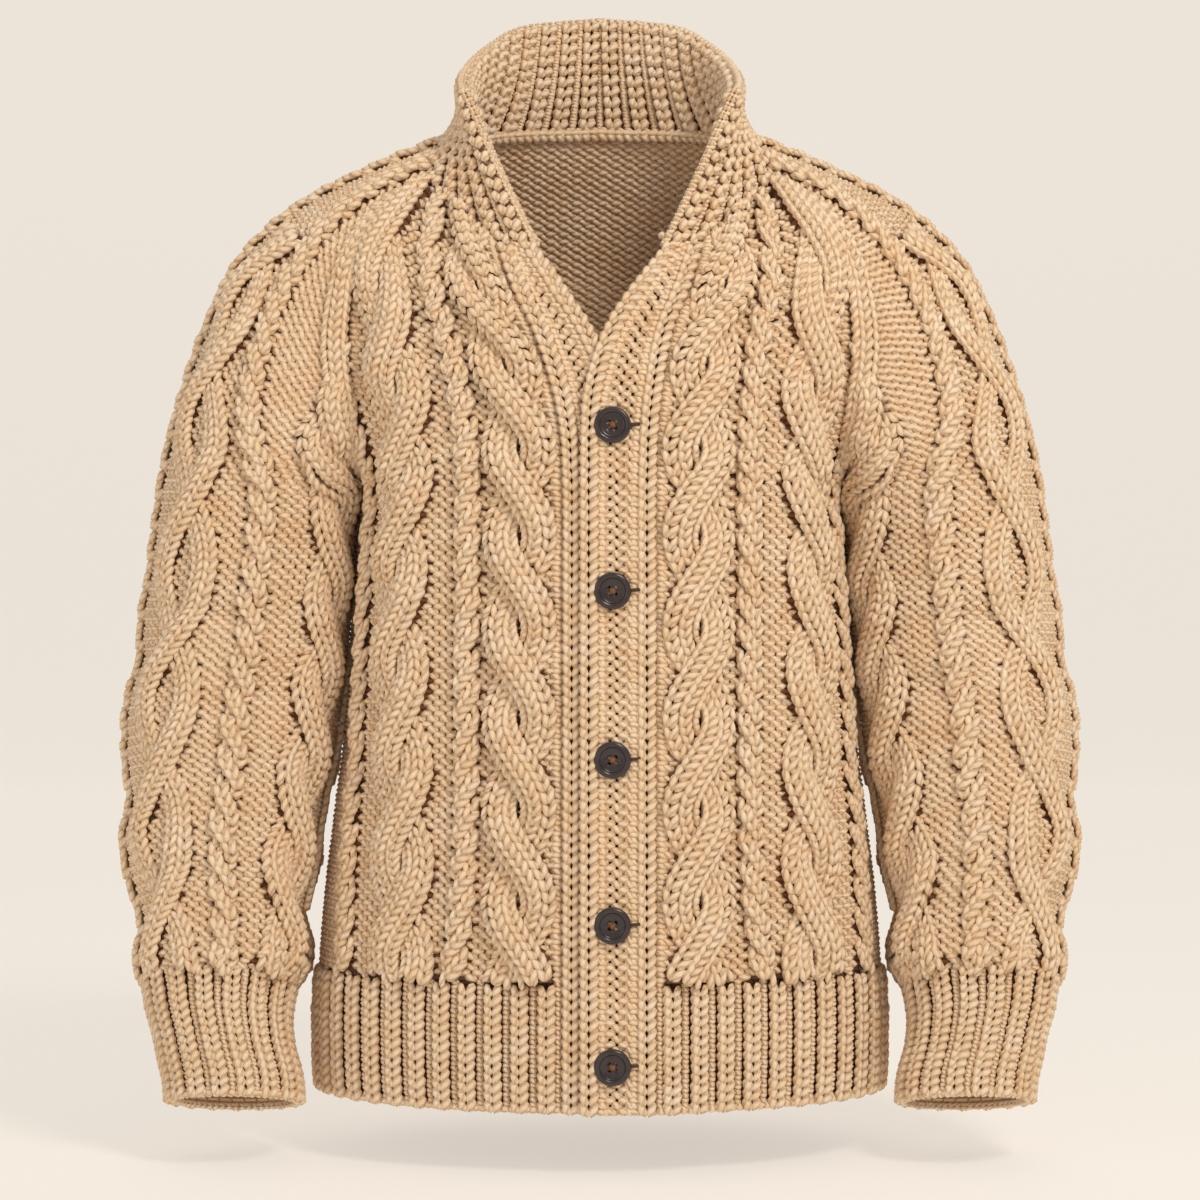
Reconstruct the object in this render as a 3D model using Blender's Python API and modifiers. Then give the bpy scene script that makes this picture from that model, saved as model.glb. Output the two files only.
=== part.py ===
"""Stand collar cardigan in thick cable knit, in the shape it has when worn and buttoned.

Metres, +Z up, the front faces -Y. The origin is the middle of the neck, level with the shoulders.
"""

import bmesh
import bpy
import mathutils
import numpy as np

# Lengths in metres and angles in degrees, unless a name says otherwise.
WALL = 0.0046  # thickness of the plain knitting
COLLAR_WALL = 0.0050
SEAM = 0.00022  # each piece stops this far short of a seam
SLEEVE_GAP = 0.0003
COLLAR_GAP = 0.0009  # the collar's seam turns two corners at each raglan sleeve
BAND_LIFT = 0.0056  # how far the buttonhole band lies in front of the button band
HEM_TOP = 0.086  # height of the hem ribbing
CUFF_TOP = 0.090  # height of the cuff ribbing
RIB_HEIGHT = 0.0025  # how far a knit column stands out between its purl columns
CABLE_HEIGHT = 0.0062  # how far the upper strand of a cable stands out
ROPE_HEIGHT = 0.0034
ROPE_HALF = 0.0105  # half the width of a rope
OPEN_CABLE, MIDDLE_ROPE, INNER_CABLE = 0.31, 0.544, 0.80  # shares of the sleeve's half girth
BACK_SHIFT = 0.014  # the back's cables are this much further from the middle than the front's
SEAM_REACH = 0.006  # borders this near to each other are one seam
SQUEEZE = 0.0024  # least width between two lines of a grid
BUTTON_WIDTH = 0.0248
BUTTON_HEIGHT = 0.0046
BUTTON_SEAT = 0.0007  # from the front of the plain band to the back of a button
HOLE_OUT = 0.0023  # thread holes, from the two middle lines of a button
HOLE_RADIUS = 0.00095

# One row per level of the body. up: length along the knitting from the hem. The side column is the
# side seam and, above the underarm, the raglan seam. mid is the row where it meets the middle.
# sweep: the angle of the ellipse that the row covers from the middle to the side. full: how much
# fuller than that ellipse the row is towards the side.
BODY_COLUMNS = ("up", "side_x", "side_y", "side_z", "mid_y", "mid_z", "sweep", "full")
FRONT = (
    (0.000, 0.1975, 0.0000, -0.657, -0.1306, -0.657, 90, 0.0010),
    (0.012, 0.1985, 0.0000, -0.645, -0.1312, -0.645, 90, 0.0020),
    (0.047, 0.1990, 0.0000, -0.610, -0.1320, -0.610, 90, 0.0030),
    (0.086, 0.1970, 0.0000, -0.571, -0.1315, -0.571, 90, 0.0040),
    (0.137, 0.1930, 0.0000, -0.520, -0.1310, -0.520, 90, 0.0045),
    (0.187, 0.1870, 0.0000, -0.470, -0.1300, -0.470, 90, 0.0050),
    (0.237, 0.1810, 0.0000, -0.420, -0.1290, -0.420, 90, 0.0060),
    (0.277, 0.1768, 0.0000, -0.380, -0.1280, -0.380, 90, 0.0075),
    (0.317, 0.1733, 0.0000, -0.340, -0.1270, -0.340, 90, 0.0095),
    (0.357, 0.1715, 0.0000, -0.300, -0.1260, -0.300, 90, 0.0115),
    (0.397, 0.1690, 0.0000, -0.260, -0.1250, -0.260, 90, 0.0140),
    (0.421, 0.1665, 0.0000, -0.236, -0.1245, -0.236, 90, 0.0160),
    (0.433, 0.1669, -0.0279, -0.230, -0.1240, -0.226, 79, 0.0110),
    (0.455, 0.1676, -0.0505, -0.211, -0.1220, -0.205, 69, 0.0050),
    (0.484, 0.1692, -0.0653, -0.180, -0.1190, -0.178, 62, 0.0010),
    (0.516, 0.1715, -0.0695, -0.145, -0.1150, -0.150, 59, 0.0000),
    (0.549, 0.1700, -0.0680, -0.105, -0.1090, -0.122, 58, 0.0000),
    (0.583, 0.1555, -0.0556, -0.060, -0.1020, -0.100, 61, 0.0000),
    (0.613, 0.1180, -0.0399, -0.0255, -0.0950, -0.082, 65, 0.0000),
)
BACK = (
    (0.000, 0.1975, 0.0000, -0.657, 0.1196, -0.657, 90, 0.0010),
    (0.012, 0.1985, 0.0000, -0.645, 0.1202, -0.645, 90, 0.0020),
    (0.047, 0.1990, 0.0000, -0.610, 0.1210, -0.610, 90, 0.0040),
    (0.086, 0.1970, 0.0000, -0.571, 0.1200, -0.571, 90, 0.0050),
    (0.137, 0.1930, 0.0000, -0.520, 0.1180, -0.520, 90, 0.0055),
    (0.187, 0.1870, 0.0000, -0.470, 0.1160, -0.470, 90, 0.0060),
    (0.237, 0.1810, 0.0000, -0.420, 0.1140, -0.420, 90, 0.0070),
    (0.277, 0.1768, 0.0000, -0.380, 0.1120, -0.380, 90, 0.0085),
    (0.317, 0.1733, 0.0000, -0.340, 0.1110, -0.340, 90, 0.0100),
    (0.357, 0.1715, 0.0000, -0.300, 0.1110, -0.300, 90, 0.0120),
    (0.397, 0.1690, 0.0000, -0.260, 0.1120, -0.260, 90, 0.0152),
    (0.421, 0.1665, 0.0000, -0.236, 0.1130, -0.236, 90, 0.0190),
    (0.433, 0.1669, 0.0303, -0.228, 0.1140, -0.224, 79, 0.0130),
    (0.457, 0.1672, 0.0549, -0.205, 0.1160, -0.200, 69, 0.0060),
    (0.492, 0.1672, 0.0705, -0.170, 0.1180, -0.166, 62, 0.0010),
    (0.532, 0.1630, 0.0767, -0.130, 0.1180, -0.127, 58, 0.0000),
    (0.580, 0.1500, 0.0757, -0.085, 0.1130, -0.083, 57, 0.0000),
    (0.633, 0.1240, 0.0628, -0.035, 0.0970, -0.033, 60, 0.0000),
    (0.685, 0.0920, 0.0379, 0.0125, 0.0745, 0.018, 62, 0.0000),
)

# One row per level of the sleeve head, from the underarm to the neck. front and back: lengths up
# the body's raglan seams. The ridge runs over the shoulder. sweep and depth: the angle and the
# front-to-back half width of the ellipses from the ridge to the two seams.
HEAD_COLUMNS = (
    "along", "front", "back", "ridge_x", "ridge_z", "front_sweep", "back_sweep", "depth", "back_depth"
)
HEAD = (
    (0.437, 0.421, 0.421, 0.3060, -0.228, 180, 180, 0.0745, 0.0745),
    (0.461, 0.433, 0.433, 0.3005, -0.205, 158, 156, 0.0745, 0.0745),
    (0.492, 0.455, 0.457, 0.2920, -0.175, 137, 133, 0.0740, 0.0750),
    (0.540, 0.484, 0.492, 0.2760, -0.130, 115, 112, 0.0720, 0.0760),
    (0.595, 0.516, 0.532, 0.2520, -0.080, 92, 95, 0.0695, 0.0770),
    (0.650, 0.549, 0.580, 0.2120, -0.043, 80, 85, 0.0690, 0.0760),
    (0.708, 0.583, 0.633, 0.1600, -0.016, 72, 75, 0.0585, 0.0650),
    (0.764, 0.613, 0.685, 0.1085, 0.006, 68, 66, 0.0430, 0.0415),
)

# One row per ring of the sleeve and its cuff, with the soft folds above and below the elbow. along:
# length from the cuff's edge. tilt: how far the forearm leans forward.
RING_COLUMNS = ("along", "mid_x", "mid_y", "mid_z", "half_width", "half_depth", "tilt", "slope")
RINGS = (
    (0.000, 0.2500, -0.065, -0.6600, 0.0440, 0.0460, 15, 0.000),
    (0.012, 0.2510, -0.062, -0.6490, 0.0446, 0.0466, 15, 0.000),
    (0.040, 0.2578, -0.055, -0.6230, 0.0442, 0.0462, 15, 0.000),
    (0.072, 0.2625, -0.047, -0.5950, 0.0476, 0.0496, 15, 0.000),
    (0.090, 0.2625, -0.043, -0.5790, 0.0515, 0.0545, 15, 0.000),
    (0.103, 0.2612, -0.039, -0.5670, 0.0565, 0.0600, 15, 0.000),
    (0.133, 0.2623, -0.031, -0.5386, 0.0545, 0.0600, 14, 0.000),
    (0.163, 0.2640, -0.024, -0.5100, 0.0615, 0.0650, 13, 0.000),
    (0.191, 0.2645, -0.017, -0.4820, 0.0660, 0.0680, 12, 0.000),
    (0.219, 0.2610, -0.011, -0.4540, 0.0665, 0.0685, 10, 0.000),
    (0.247, 0.2595, -0.006, -0.4260, 0.0715, 0.0715, 8, 0.000),
    (0.275, 0.2573, -0.002, -0.3976, 0.0737, 0.0735, 6, 0.000),
    (0.303, 0.2530, 0.001, -0.3700, 0.0728, 0.0745, 4, 0.000),
    (0.332, 0.2490, 0.003, -0.3410, 0.0721, 0.0750, 2, 0.000),
    (0.360, 0.2470, 0.004, -0.3130, 0.0721, 0.0755, 0, 0.000),
    (0.388, 0.2437, 0.003, -0.2850, 0.0707, 0.0750, 0, 0.000),
    (0.416, 0.2395, 0.001, -0.2560, 0.0690, 0.0748, 0, 0.002),
    (0.437, 0.2363, 0.000, -0.2320, 0.0698, 0.0745, 0, 0.004),
)

# One row per height of the front bands, as x on the wearer's left: where a band meets its front,
# and its free edge. The wearer's right band is the same one turned over, with its own columns.
BAND_COLUMNS = ("up", "over_seam", "over_edge", "under_seam", "under_edge")
BANDS = (
    (0.000, 0.0375, -0.0136, 0.0265, -0.0245),
    (0.404, 0.0375, -0.0136, 0.0260, -0.0240),
    (0.445, 0.0385, -0.0134, 0.0272, -0.0225),
    (0.472, 0.0405, -0.0125, 0.0305, -0.0180),
    (0.500, 0.0440, -0.0080, 0.0370, -0.0090),
    (0.528, 0.0490, 0.0010, 0.0455, 0.0020),
    (0.560, 0.0595, 0.0155, 0.0580, 0.0180),
    (0.590, 0.0670, 0.0295, 0.0670, 0.0305),
    (0.613, 0.0727, 0.0425, 0.0727, 0.0430),
)

# One row per place round the collar, as a share of the neck seam from the front edge to the middle
# of the back. The collar runs from that seam through its waist to its rim.
COLLAR_COLUMNS = ("round", "waist_x", "waist_y", "waist_z", "rim_x", "rim_y", "rim_z")
COLLAR = (
    (0.000, 0.0690, -0.0830, -0.0240, 0.0962, -0.0600, 0.033),
    (0.080, 0.0790, -0.0760, -0.0220, 0.0975, -0.0500, 0.037),
    (0.190, 0.0890, -0.0640, -0.0140, 0.0985, -0.0380, 0.042),
    (0.348, 0.0985, -0.0360, 0.0100, 0.0980, -0.0180, 0.050),
    (0.520, 0.0950, 0.0000, 0.0320, 0.0945, 0.0080, 0.061),
    (0.660, 0.0810, 0.0370, 0.0460, 0.0820, 0.0410, 0.079),
    (0.840, 0.0500, 0.0640, 0.0570, 0.0550, 0.0720, 0.099),
    (1.000, 0.0000, 0.0760, 0.0620, 0.0000, 0.0860, 0.107),
)

# Where the cables run. at: distance from the band seam, or on the back from the middle, at each
# height up the panel.
CABLE_COLUMNS = ("up", "inner_cable", "rope", "outer_cable", "side_rope", "width")
CABLES = (
    (0.086, 0.0275, 0.0745, 0.1120, 0.1650, 1.0),
    (0.150, 0.0275, 0.0665, 0.1120, 0.1650, 1.0),
    (0.210, 0.0275, 0.0645, 0.1130, 0.1640, 1.0),
    (0.340, 0.0275, 0.0645, 0.1180, 0.1610, 1.0),
    (0.450, 0.0265, 0.0630, 0.1100, 0.1560, 1.0),
    (0.550, 0.0235, 0.0580, 0.0980, 0.1500, 0.9),
    (0.613, 0.0215, 0.0530, 0.0880, 0.1450, 0.8),
)
# Two-strand cables. repeat: length from one crossing to the next. start: a height where the strands
# are furthest apart. reach: how far each then is from the cable's middle. radius: half the width of
# a strand. over: 1 where the upper strand leans to the middle of the body as it rises, -1 where it
# leans away from it; on the sleeve the same, to and from the ridge.
CABLE_SHAPES = {
    "inner": {"repeat": 0.0608, "start": 0.0795, "reach": 0.0145, "radius": 0.0125, "over": -1},
    "outer": {"repeat": 0.0655, "start": 0.0957, "reach": 0.0145, "radius": 0.0125, "over": 1},
    "open": {"repeat": 0.0945, "start": 0.0898, "reach": 0.0175, "radius": 0.0095, "over": -1},
    "sleeve": {"repeat": 0.0635, "start": 0.0391, "reach": 0.0120, "radius": 0.0115, "over": 1},
}

# Grid lines across a front band as shares of its width, and how far each stands out.
BAND_CUTS = (0.0, 0.055, 0.13, 0.22, 0.25, 0.75, 0.78, 0.87, 0.945, 1.0)
BAND_RISE = (0.0, 0.0012, 0.0018, 0.0010, 0.0004, 0.0004, 0.0010, 0.0018, 0.0012, 0.0)

BUTTONS_UP = (0.0315, 0.1247, 0.2340, 0.3458, 0.4585)
BUTTON_X = 0.0080
# Half the section of a button, as shares of its radius and height, from the back's middle round the
# rim to the middle of the dished face.
BUTTON_PROFILE = ((0, 0), (0.62, 0), (0.94, 0.2), (1, 0.6), (0.9, 1), (0.76, 1), (0.68, 0.7), (0, 0.6))

# How many rows and columns of a piece's outside there are to each one of its plain inside.
INSIDE_STEPS = {"hem": (1, 2), "cuff": (1, 2), "buttonhole": (2, 3), "button": (2, 3)}
PLAIN_STEPS = (2, 2)


def smooth(table, at):
    """The later columns of a table where its first is `at`: a cubic between each two rows, with
    the harmonic mean of the two rises at each row, which never overshoots."""
    table = np.asarray(table, float)
    key, rows = table[:, 0], table[:, 1:]
    rise = np.diff(rows, axis=0) / np.diff(key)[:, None]
    inside = rise[:-1] * rise[1:] > 0
    slope = np.zeros(rows.shape)
    slope[1:-1][inside] = (2 * rise[:-1] * rise[1:])[inside] / (rise[:-1] + rise[1:])[inside]
    slope[[0, -1]] = rise[[0, -1]]
    at = np.clip(np.asarray(at, float), key[0], key[-1])
    i = np.clip(np.searchsorted(key, at, side="right") - 1, 0, len(key) - 2)
    step = (key[i + 1] - key[i])[..., None]
    x = (at - key[i])[..., None] / step
    start = (2 * x**3 - 3 * x**2 + 1) * rows[i] + (x**3 - 2 * x**2 + x) * step * slope[i]
    return start + (3 * x**2 - 2 * x**3) * rows[i + 1] + (x**3 - x**2) * step * slope[i + 1]


def columns(table, at):
    return np.moveaxis(smooth(table, at), -1, 0)


def ramp(x, low, high):
    """0 up to low, 1 from high on, and t*t*(3 - 2t) between them."""
    t = np.clip((x - low) / (high - low), 0, 1)
    return t * t * (3 - 2 * t)


def unit(vectors):
    return vectors / np.maximum(np.linalg.norm(vectors, axis=-1, keepdims=True), 1e-12)


def body(table, up, share):
    """A row of the front or back: x = A sin a, y = mid_y + B (1 - cos a), a = share of the sweep."""
    up, share = np.broadcast_arrays(up, share)
    side_x, side_y, side_z, mid_y, mid_z, sweep, full = columns(table, up)
    sweep = np.radians(sweep)
    angle = share * sweep
    x = side_x * np.sin(angle) / np.sin(sweep)
    y = mid_y + (side_y - mid_y) * (1 - np.cos(angle)) / (1 - np.cos(sweep))
    y = y + np.sign(mid_y) * full * np.sin(np.pi * np.abs(share) ** 1.6) ** 2
    z = mid_z + (side_z - mid_z) * np.abs(x / side_x) ** 2.6
    return np.stack([x, y, z], axis=-1)


def front(up, share):
    return body(FRONT, up, share)


def back(up, share):
    return body(BACK, up, share)


def share_at(table, up, x):
    """Where x lies on the rows, as a share of their sweep."""
    side_x, sweep = columns(table, up)[[0, 5]]
    sweep = np.radians(sweep)
    return np.arcsin(np.clip(x / side_x * np.sin(sweep), -1, 1)) / sweep


def sleeve(along, turn):
    """A sleeve's ring or head row, turn -1 at the front seam, 0 on the ridge, 1 at the back seam."""
    along, turn = np.broadcast_arrays(along, turn)
    lower = ring(along, turn)
    front_up, back_up, ridge_x, ridge_z, *shape = columns(HEAD, along)
    at_front = turn < 0
    seam = np.where(at_front[..., None], front(front_up, 1.0), back(back_up, 1.0))
    sweep = np.radians(np.where(at_front, shape[0], shape[1]))
    depth = np.sign(turn) * np.where(at_front, shape[2], shape[3])
    angle = np.abs(turn) * sweep
    rise = (1 - np.cos(angle)) / (1 - np.cos(sweep))
    x = ridge_x + (seam[..., 0] - ridge_x) * rise
    y = depth * np.sin(angle) + (seam[..., 1] - depth * np.sin(sweep)) * np.abs(turn) ** 3
    z = ridge_z + (seam[..., 2] - ridge_z) * rise
    upper = np.stack([x, y, z], axis=-1)
    return np.where((along >= HEAD[0][0])[..., None], upper, lower)


def ring(along, turn):
    """A sleeve ring: half_width and half_depth of an ellipse, leaning with the forearm."""
    mid_x, mid_y, mid_z, half_width, half_depth, tilt, slope = columns(RINGS, along)
    tilt = np.radians(tilt)
    out, reach = np.cos(turn * np.pi), np.sin(turn * np.pi) * half_depth
    y = mid_y + reach * np.cos(tilt)
    z = mid_z - reach * np.sin(tilt) + slope * out
    return np.stack([mid_x + half_width * out, y, z], axis=-1)


def neck_seam(count):
    """Points at even steps round half of the neck: front, head of the sleeve, then back."""
    first = share_at(FRONT, FRONT[-1][0], BANDS[-1][2])
    parts = (
        front(FRONT[-1][0], np.linspace(first, 1, 60)),
        sleeve(HEAD[-1][0], np.linspace(-1, 1, 60)),
        back(BACK[-1][0], np.linspace(1, 0, 60)),
    )
    line = np.concatenate([parts[0], parts[1][1:], parts[2][1:]])
    run = np.concatenate([[0], np.cumsum(np.linalg.norm(np.diff(line, axis=0), axis=1))])
    wanted = np.linspace(0, run[-1], count)
    return np.stack([np.interp(wanted, run, line[:, axis]) for axis in range(3)], axis=-1)


def collar(around, height):
    """A parabola from the neck seam through waist to rim, around -1 and 1 at the front edges."""
    around, height = np.broadcast_arrays(around, height)
    place = 1 - np.abs(around)
    seam = neck_seam(241)
    base = np.stack([np.interp(place, np.linspace(0, 1, 241), seam[:, k]) for k in range(3)], -1)
    shape = smooth(COLLAR, place)
    v = height[..., None]
    points = base * (1 - v) * (1 - 2 * v) + shape[..., :3] * 4 * v * (1 - v)
    points = points + shape[..., 3:] * v * (2 * v - 1)
    return points * np.stack([np.where(around < 0, -1, 1), 1 + 0 * place, 1 + 0 * place], -1)


def facing(surface, a, b, outward):
    """Unit normals of surface(a, b) by small steps, on the side away from the point `outward`."""
    step = 2e-4
    first = surface(a + step, b) - surface(a - step, b)
    second = surface(a, b + step) - surface(a, b - step)
    normal = unit(np.cross(first, second))
    away = np.sum(normal * (surface(a, b) - np.asarray(outward)))
    return normal if away > 0 else -normal


def shares_along(surface, level, first, distance):
    """The share at which each row, measured from `first`, has run the given distances."""
    fine = np.linspace(0, 1, 181)
    share = first[:, None] + (1 - first[:, None]) * fine
    points = surface(level[:, None], share)
    steps = np.linalg.norm(np.diff(points, axis=1), axis=-1)
    run = np.concatenate([np.zeros((len(level), 1)), np.cumsum(steps, axis=1)], axis=1)
    wanted = distance(run[:, -1:])
    found = [np.interp(w, r, s) for w, r, s in zip(wanted, run, share)]
    return np.array(found), wanted, run[:, -1:]


def in_order(wanted, length):
    """Distances kept SQUEEZE apart where a row is too short for all of them."""
    left = np.arange(wanted.shape[1])[::-1]
    return np.minimum(wanted, length - SQUEEZE * left)


def strands(across, up, kind):
    """Height of a two-strand cable: strands at +-reach cos(pi (up - start)/repeat), one over."""
    shape = CABLE_SHAPES[kind]
    phase = np.pi * (up - shape["start"]) / shape["repeat"]
    height = np.zeros(np.broadcast(across, up).shape)
    for side in (1, -1):
        offset = (across - side * shape["reach"] * np.cos(phase)) / shape["radius"]
        on_top = 0.78 + 0.22 * shape["over"] * side * np.sin(phase)
        height = np.maximum(height, on_top * np.sqrt(np.clip(1 - offset**2, 0, 1)))
    return height * CABLE_HEIGHT


def cable_lines_across(kind):
    """Where grid lines cross a cable: its two edges, the crests of its strands and its middle."""
    reach, edge = CABLE_SHAPES[kind]["reach"], CABLE_SHAPES[kind]["reach"] + 0.0115
    return np.array((-edge, -reach, 0, reach, edge))


def rope(across):
    return ROPE_HEIGHT * np.sqrt(np.clip(1 - (across / ROPE_HALF) ** 2, 0, 1))


def body_relief(distance, up, shift):
    """The cables and ropes of half the body, `distance` from its band seam or its middle."""
    inner, narrow, outer, side, width = columns(CABLES, up)
    distance = distance - shift
    height = strands((distance - inner) / width, up, "inner")
    crossed = strands((distance - outer) / width, up, "outer")
    return np.maximum.reduce([height, crossed, rope(distance - narrow), rope(distance - side)])


def body_cuts(up, shift):
    """Grid columns on the edges, crests and middles of the cables and ropes."""
    inner, narrow, outer, side, width = columns(CABLES, up)[..., None]
    inner, narrow, outer, side = inner + shift, narrow + shift, outer + shift, side + shift
    cable, thin = width * cable_lines_across("inner"), np.array((-ROPE_HALF, 0, ROPE_HALF))
    return np.concatenate([inner + cable, narrow + thin, outer + cable, side + thin], axis=1)


def sleeve_relief(across, along, half):
    """Outer open cable, middle rope and inner cable, `across` from the sleeve's outer ridge."""
    across, half = across / sleeve_width(half), half / sleeve_width(half)
    opened = 0.75 * strands(across - OPEN_CABLE * half, along, "open")
    inner = strands(across - INNER_CABLE * half, along, "sleeve")
    return np.maximum.reduce([rope(across), opened, rope(across - MIDDLE_ROPE * half), inner])


def sleeve_cuts(half):
    """Grid columns of half a sleeve, from the ridge to the seam."""
    width = sleeve_width(half)
    cable = INNER_CABLE * half + width * cable_lines_across("sleeve")
    opened = OPEN_CABLE * half + width * cable_lines_across("open")
    thin = MIDDLE_ROPE * half + width * np.array((-ROPE_HALF, 0, ROPE_HALF))
    return np.concatenate([0 * half, width * ROPE_HALF, opened, thin, cable, half], axis=1)


def sleeve_width(half):
    """How wide the sleeve's cables are for its half girth, against their full width."""
    return np.minimum(1, half / 0.2)


def panel(points, normals, relief, closed=0, wall=WALL, gap=SEAM):
    """A grid of points on a piece's outer side. The first `closed` rows are rings, whose two end
    columns are one line."""
    relief = np.broadcast_to(relief, points.shape[:2]).copy()
    keys = ("points", "normals", "rim", "relief", "closed", "wall", "gap")
    return dict(zip(keys, (points, normals, normals.copy(), relief, closed, wall, gap)))


def mirrored(piece):
    flip = np.array((-1, 1, 1))
    return piece | {key: piece[key] * flip for key in ("points", "normals", "rim")}


def border(piece):
    mask = np.zeros(piece["points"].shape[:2], bool)
    mask[[0, -1], :] = True
    mask[piece["closed"]:, [0, -1]] = True
    return mask


def share_rims(panels):
    """Where pieces meet they take one direction through the cloth, so that edges lie side by side."""
    borders = {name: border(piece) for name, piece in panels.items()}
    for name, piece in panels.items():
        for row, col in np.argwhere(borders[name]):
            total = piece["normals"][row, col].copy()
            for other, near in panels.items():
                points = near["points"][borders[other]]
                away = np.linalg.norm(points - piece["points"][row, col], axis=1)
                if other != name and away.min() < SEAM_REACH:
                    total += near["normals"][borders[other]][away.argmin()]
            if np.linalg.norm(total) > 0.15:
                piece["rim"][row, col] = unit(total)


def drawn_in(grid, closed, gap):
    """The grid with its open edges moved `gap` into the piece, square to each edge."""
    out = grid.copy()
    rows, cols = grid.shape[:2]
    edges = [((-1, slice(None)), (-2, slice(None))), ((0, slice(None)), (1, slice(None)))]
    if closed < rows:
        sides = slice(closed, rows)
        edges += [((sides, 0), (sides, 1)), ((sides, cols - 1), (sides, cols - 2))]
    for edge, inside in edges:
        along = unit(np.gradient(grid[edge], axis=0))
        inward = grid[inside] - grid[edge]
        inward -= along * np.sum(inward * along, axis=-1, keepdims=True)
        out[edge] = out[edge] + unit(inward) * gap
    return out


def zipped(outer, inner, kept):
    """Faces between the outer vertices of an edge and its inner ones, which are fewer."""
    faces = []
    for i in range(len(kept) - 1):
        first, last = kept[i], kept[i + 1]
        middle = (first + last + 1) // 2
        faces += [(inner[i], outer[j], outer[j + 1]) for j in range(first, middle)]
        faces.append((inner[i], outer[middle], inner[i + 1]))
        faces += [(inner[i + 1], outer[j], outer[j + 1]) for j in range(middle, last)]
    return faces


def grid_faces(ids):
    quads = np.stack([ids[:-1, :-1], ids[:-1, 1:], ids[1:, 1:], ids[1:, :-1]], axis=-1)
    return [tuple(quad) for quad in quads.reshape(-1, 4).tolist()]


def wall_object(name, piece, material, row_step, col_step):
    """A wall: the piece's raised outer points, and a plain inside with fewer rows and columns."""
    closed, gap, shape = piece["closed"], piece["gap"], piece["points"].shape[:2]
    outer = drawn_in(piece["points"] + piece["normals"] * piece["relief"][..., None], closed, gap)
    inner = drawn_in(piece["points"] - piece["rim"] * piece["wall"], closed, gap)
    ringed = closed + 1 if 0 < closed < shape[0] else closed
    for grid in (outer, inner):
        grid[:ringed, -1] = grid[:ringed, 0]
    kept_rows = sorted(set(range(0, shape[0], row_step)) | {shape[0] - 1, min(closed, shape[0] - 1)})
    kept_cols = sorted(set(range(0, shape[1], col_step)) | {shape[1] - 1})
    inner = inner[np.ix_(kept_rows, kept_cols)]
    outer_ids = np.arange(shape[0] * shape[1]).reshape(shape)
    inner_ids = outer_ids.size + np.arange(inner.shape[0] * inner.shape[1]).reshape(inner.shape[:2])
    outer_ids[:ringed, -1] = outer_ids[:ringed, 0]
    ringed_inside = sum(row < ringed for row in kept_rows)
    inner_ids[:ringed_inside, -1] = inner_ids[:ringed_inside, 0]
    faces = grid_faces(outer_ids) + grid_faces(inner_ids)
    faces += zipped(outer_ids[0], inner_ids[0], kept_cols)
    faces += zipped(outer_ids[-1], inner_ids[-1], kept_cols)
    if closed < shape[0]:
        open_rows = [row for row in kept_rows if row >= closed]
        first = len(kept_rows) - len(open_rows)
        for side in (0, -1):
            faces += zipped(outer_ids[:, side], inner_ids[first:, side], open_rows)
    vertices = np.concatenate([outer.reshape(-1, 3), inner.reshape(-1, 3)])
    return mesh_object(name, vertices, faces, material)


def mesh_object(name, vertices, faces, material):
    used = sorted({int(i) for face in faces for i in face})
    place = {old: new for new, old in enumerate(used)}
    mesh = bpy.data.meshes.new(name)
    mesh.from_pydata(vertices[used].tolist(), [], [[place[int(i)] for i in f] for f in faces])
    mesh.materials.append(material)
    obj = bpy.data.objects.new(name, mesh)
    cardigan.objects.link(obj)
    work = bmesh.new()
    work.from_mesh(mesh)
    bmesh.ops.recalc_face_normals(work, faces=work.faces)
    work.to_mesh(mesh)
    work.free()
    return obj


def band_lift(up):
    """How far forward the buttonhole band lies: it comes down level above the top button."""
    return BAND_LIFT * (1 - ramp(up, 0.530, 0.600))


def front_panel(up, over, distance, relief):
    """The wearer's left front at the heights `up`, from the band seam to the side."""
    first = share_at(FRONT, up, columns(BANDS, up)[0 if over else 2])
    share, run, length = shares_along(front, up, first, distance)
    level = up[:, None]
    points = front(level, share)
    normals = facing(front, level, share, (0, 0, -0.35))
    if over:
        points = points + normals * (band_lift(level) * (1 - ramp(run, 0, 0.055)))[..., None]
    return panel(points, normals, relief(run, level, length))


def back_panel(up, distance, relief):
    """The whole back at the heights `up`, from the wearer's right side to the left."""
    share, run, length = shares_along(back, up, np.zeros(len(up)), distance)
    share = np.concatenate([-share[:, :0:-1], share], axis=1)
    run = np.concatenate([run[:, :0:-1], run], axis=1)
    level = up[:, None]
    normals = facing(back, level, share, (0, 0, -0.35))
    return panel(back(level, share), normals, relief(run, level, length))


def cables(shift, top):
    """The relief of a body panel, gone at its edges."""

    def relief(distance, up, length):
        height = body_relief(distance, up, shift)
        if shift:
            height = np.maximum(height, rope(distance))
        else:
            height = height * ramp(distance, 0, 0.004)
        return height * ramp(length - distance, 0, 0.008) * ramp(up, HEM_TOP, 0.096) * ramp(
            top - up, 0, 0.012
        )

    return relief


def ribs(distance, up, length):
    """Raised knit columns on every second line of the grid, lower at both ends."""
    line = np.arange(distance.shape[1]) % 2
    return RIB_HEIGHT * line * rib_ends(up, HEM_TOP)


def rib_ends(up, top):
    """Ribs are 0.35 of their height at the cast-on edge and 0.45 where the ribbing ends."""
    return (0.35 + 0.65 * ramp(up, 0, 0.012)) * (1 - 0.55 * ramp(up, top - 0.012, top))


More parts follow.
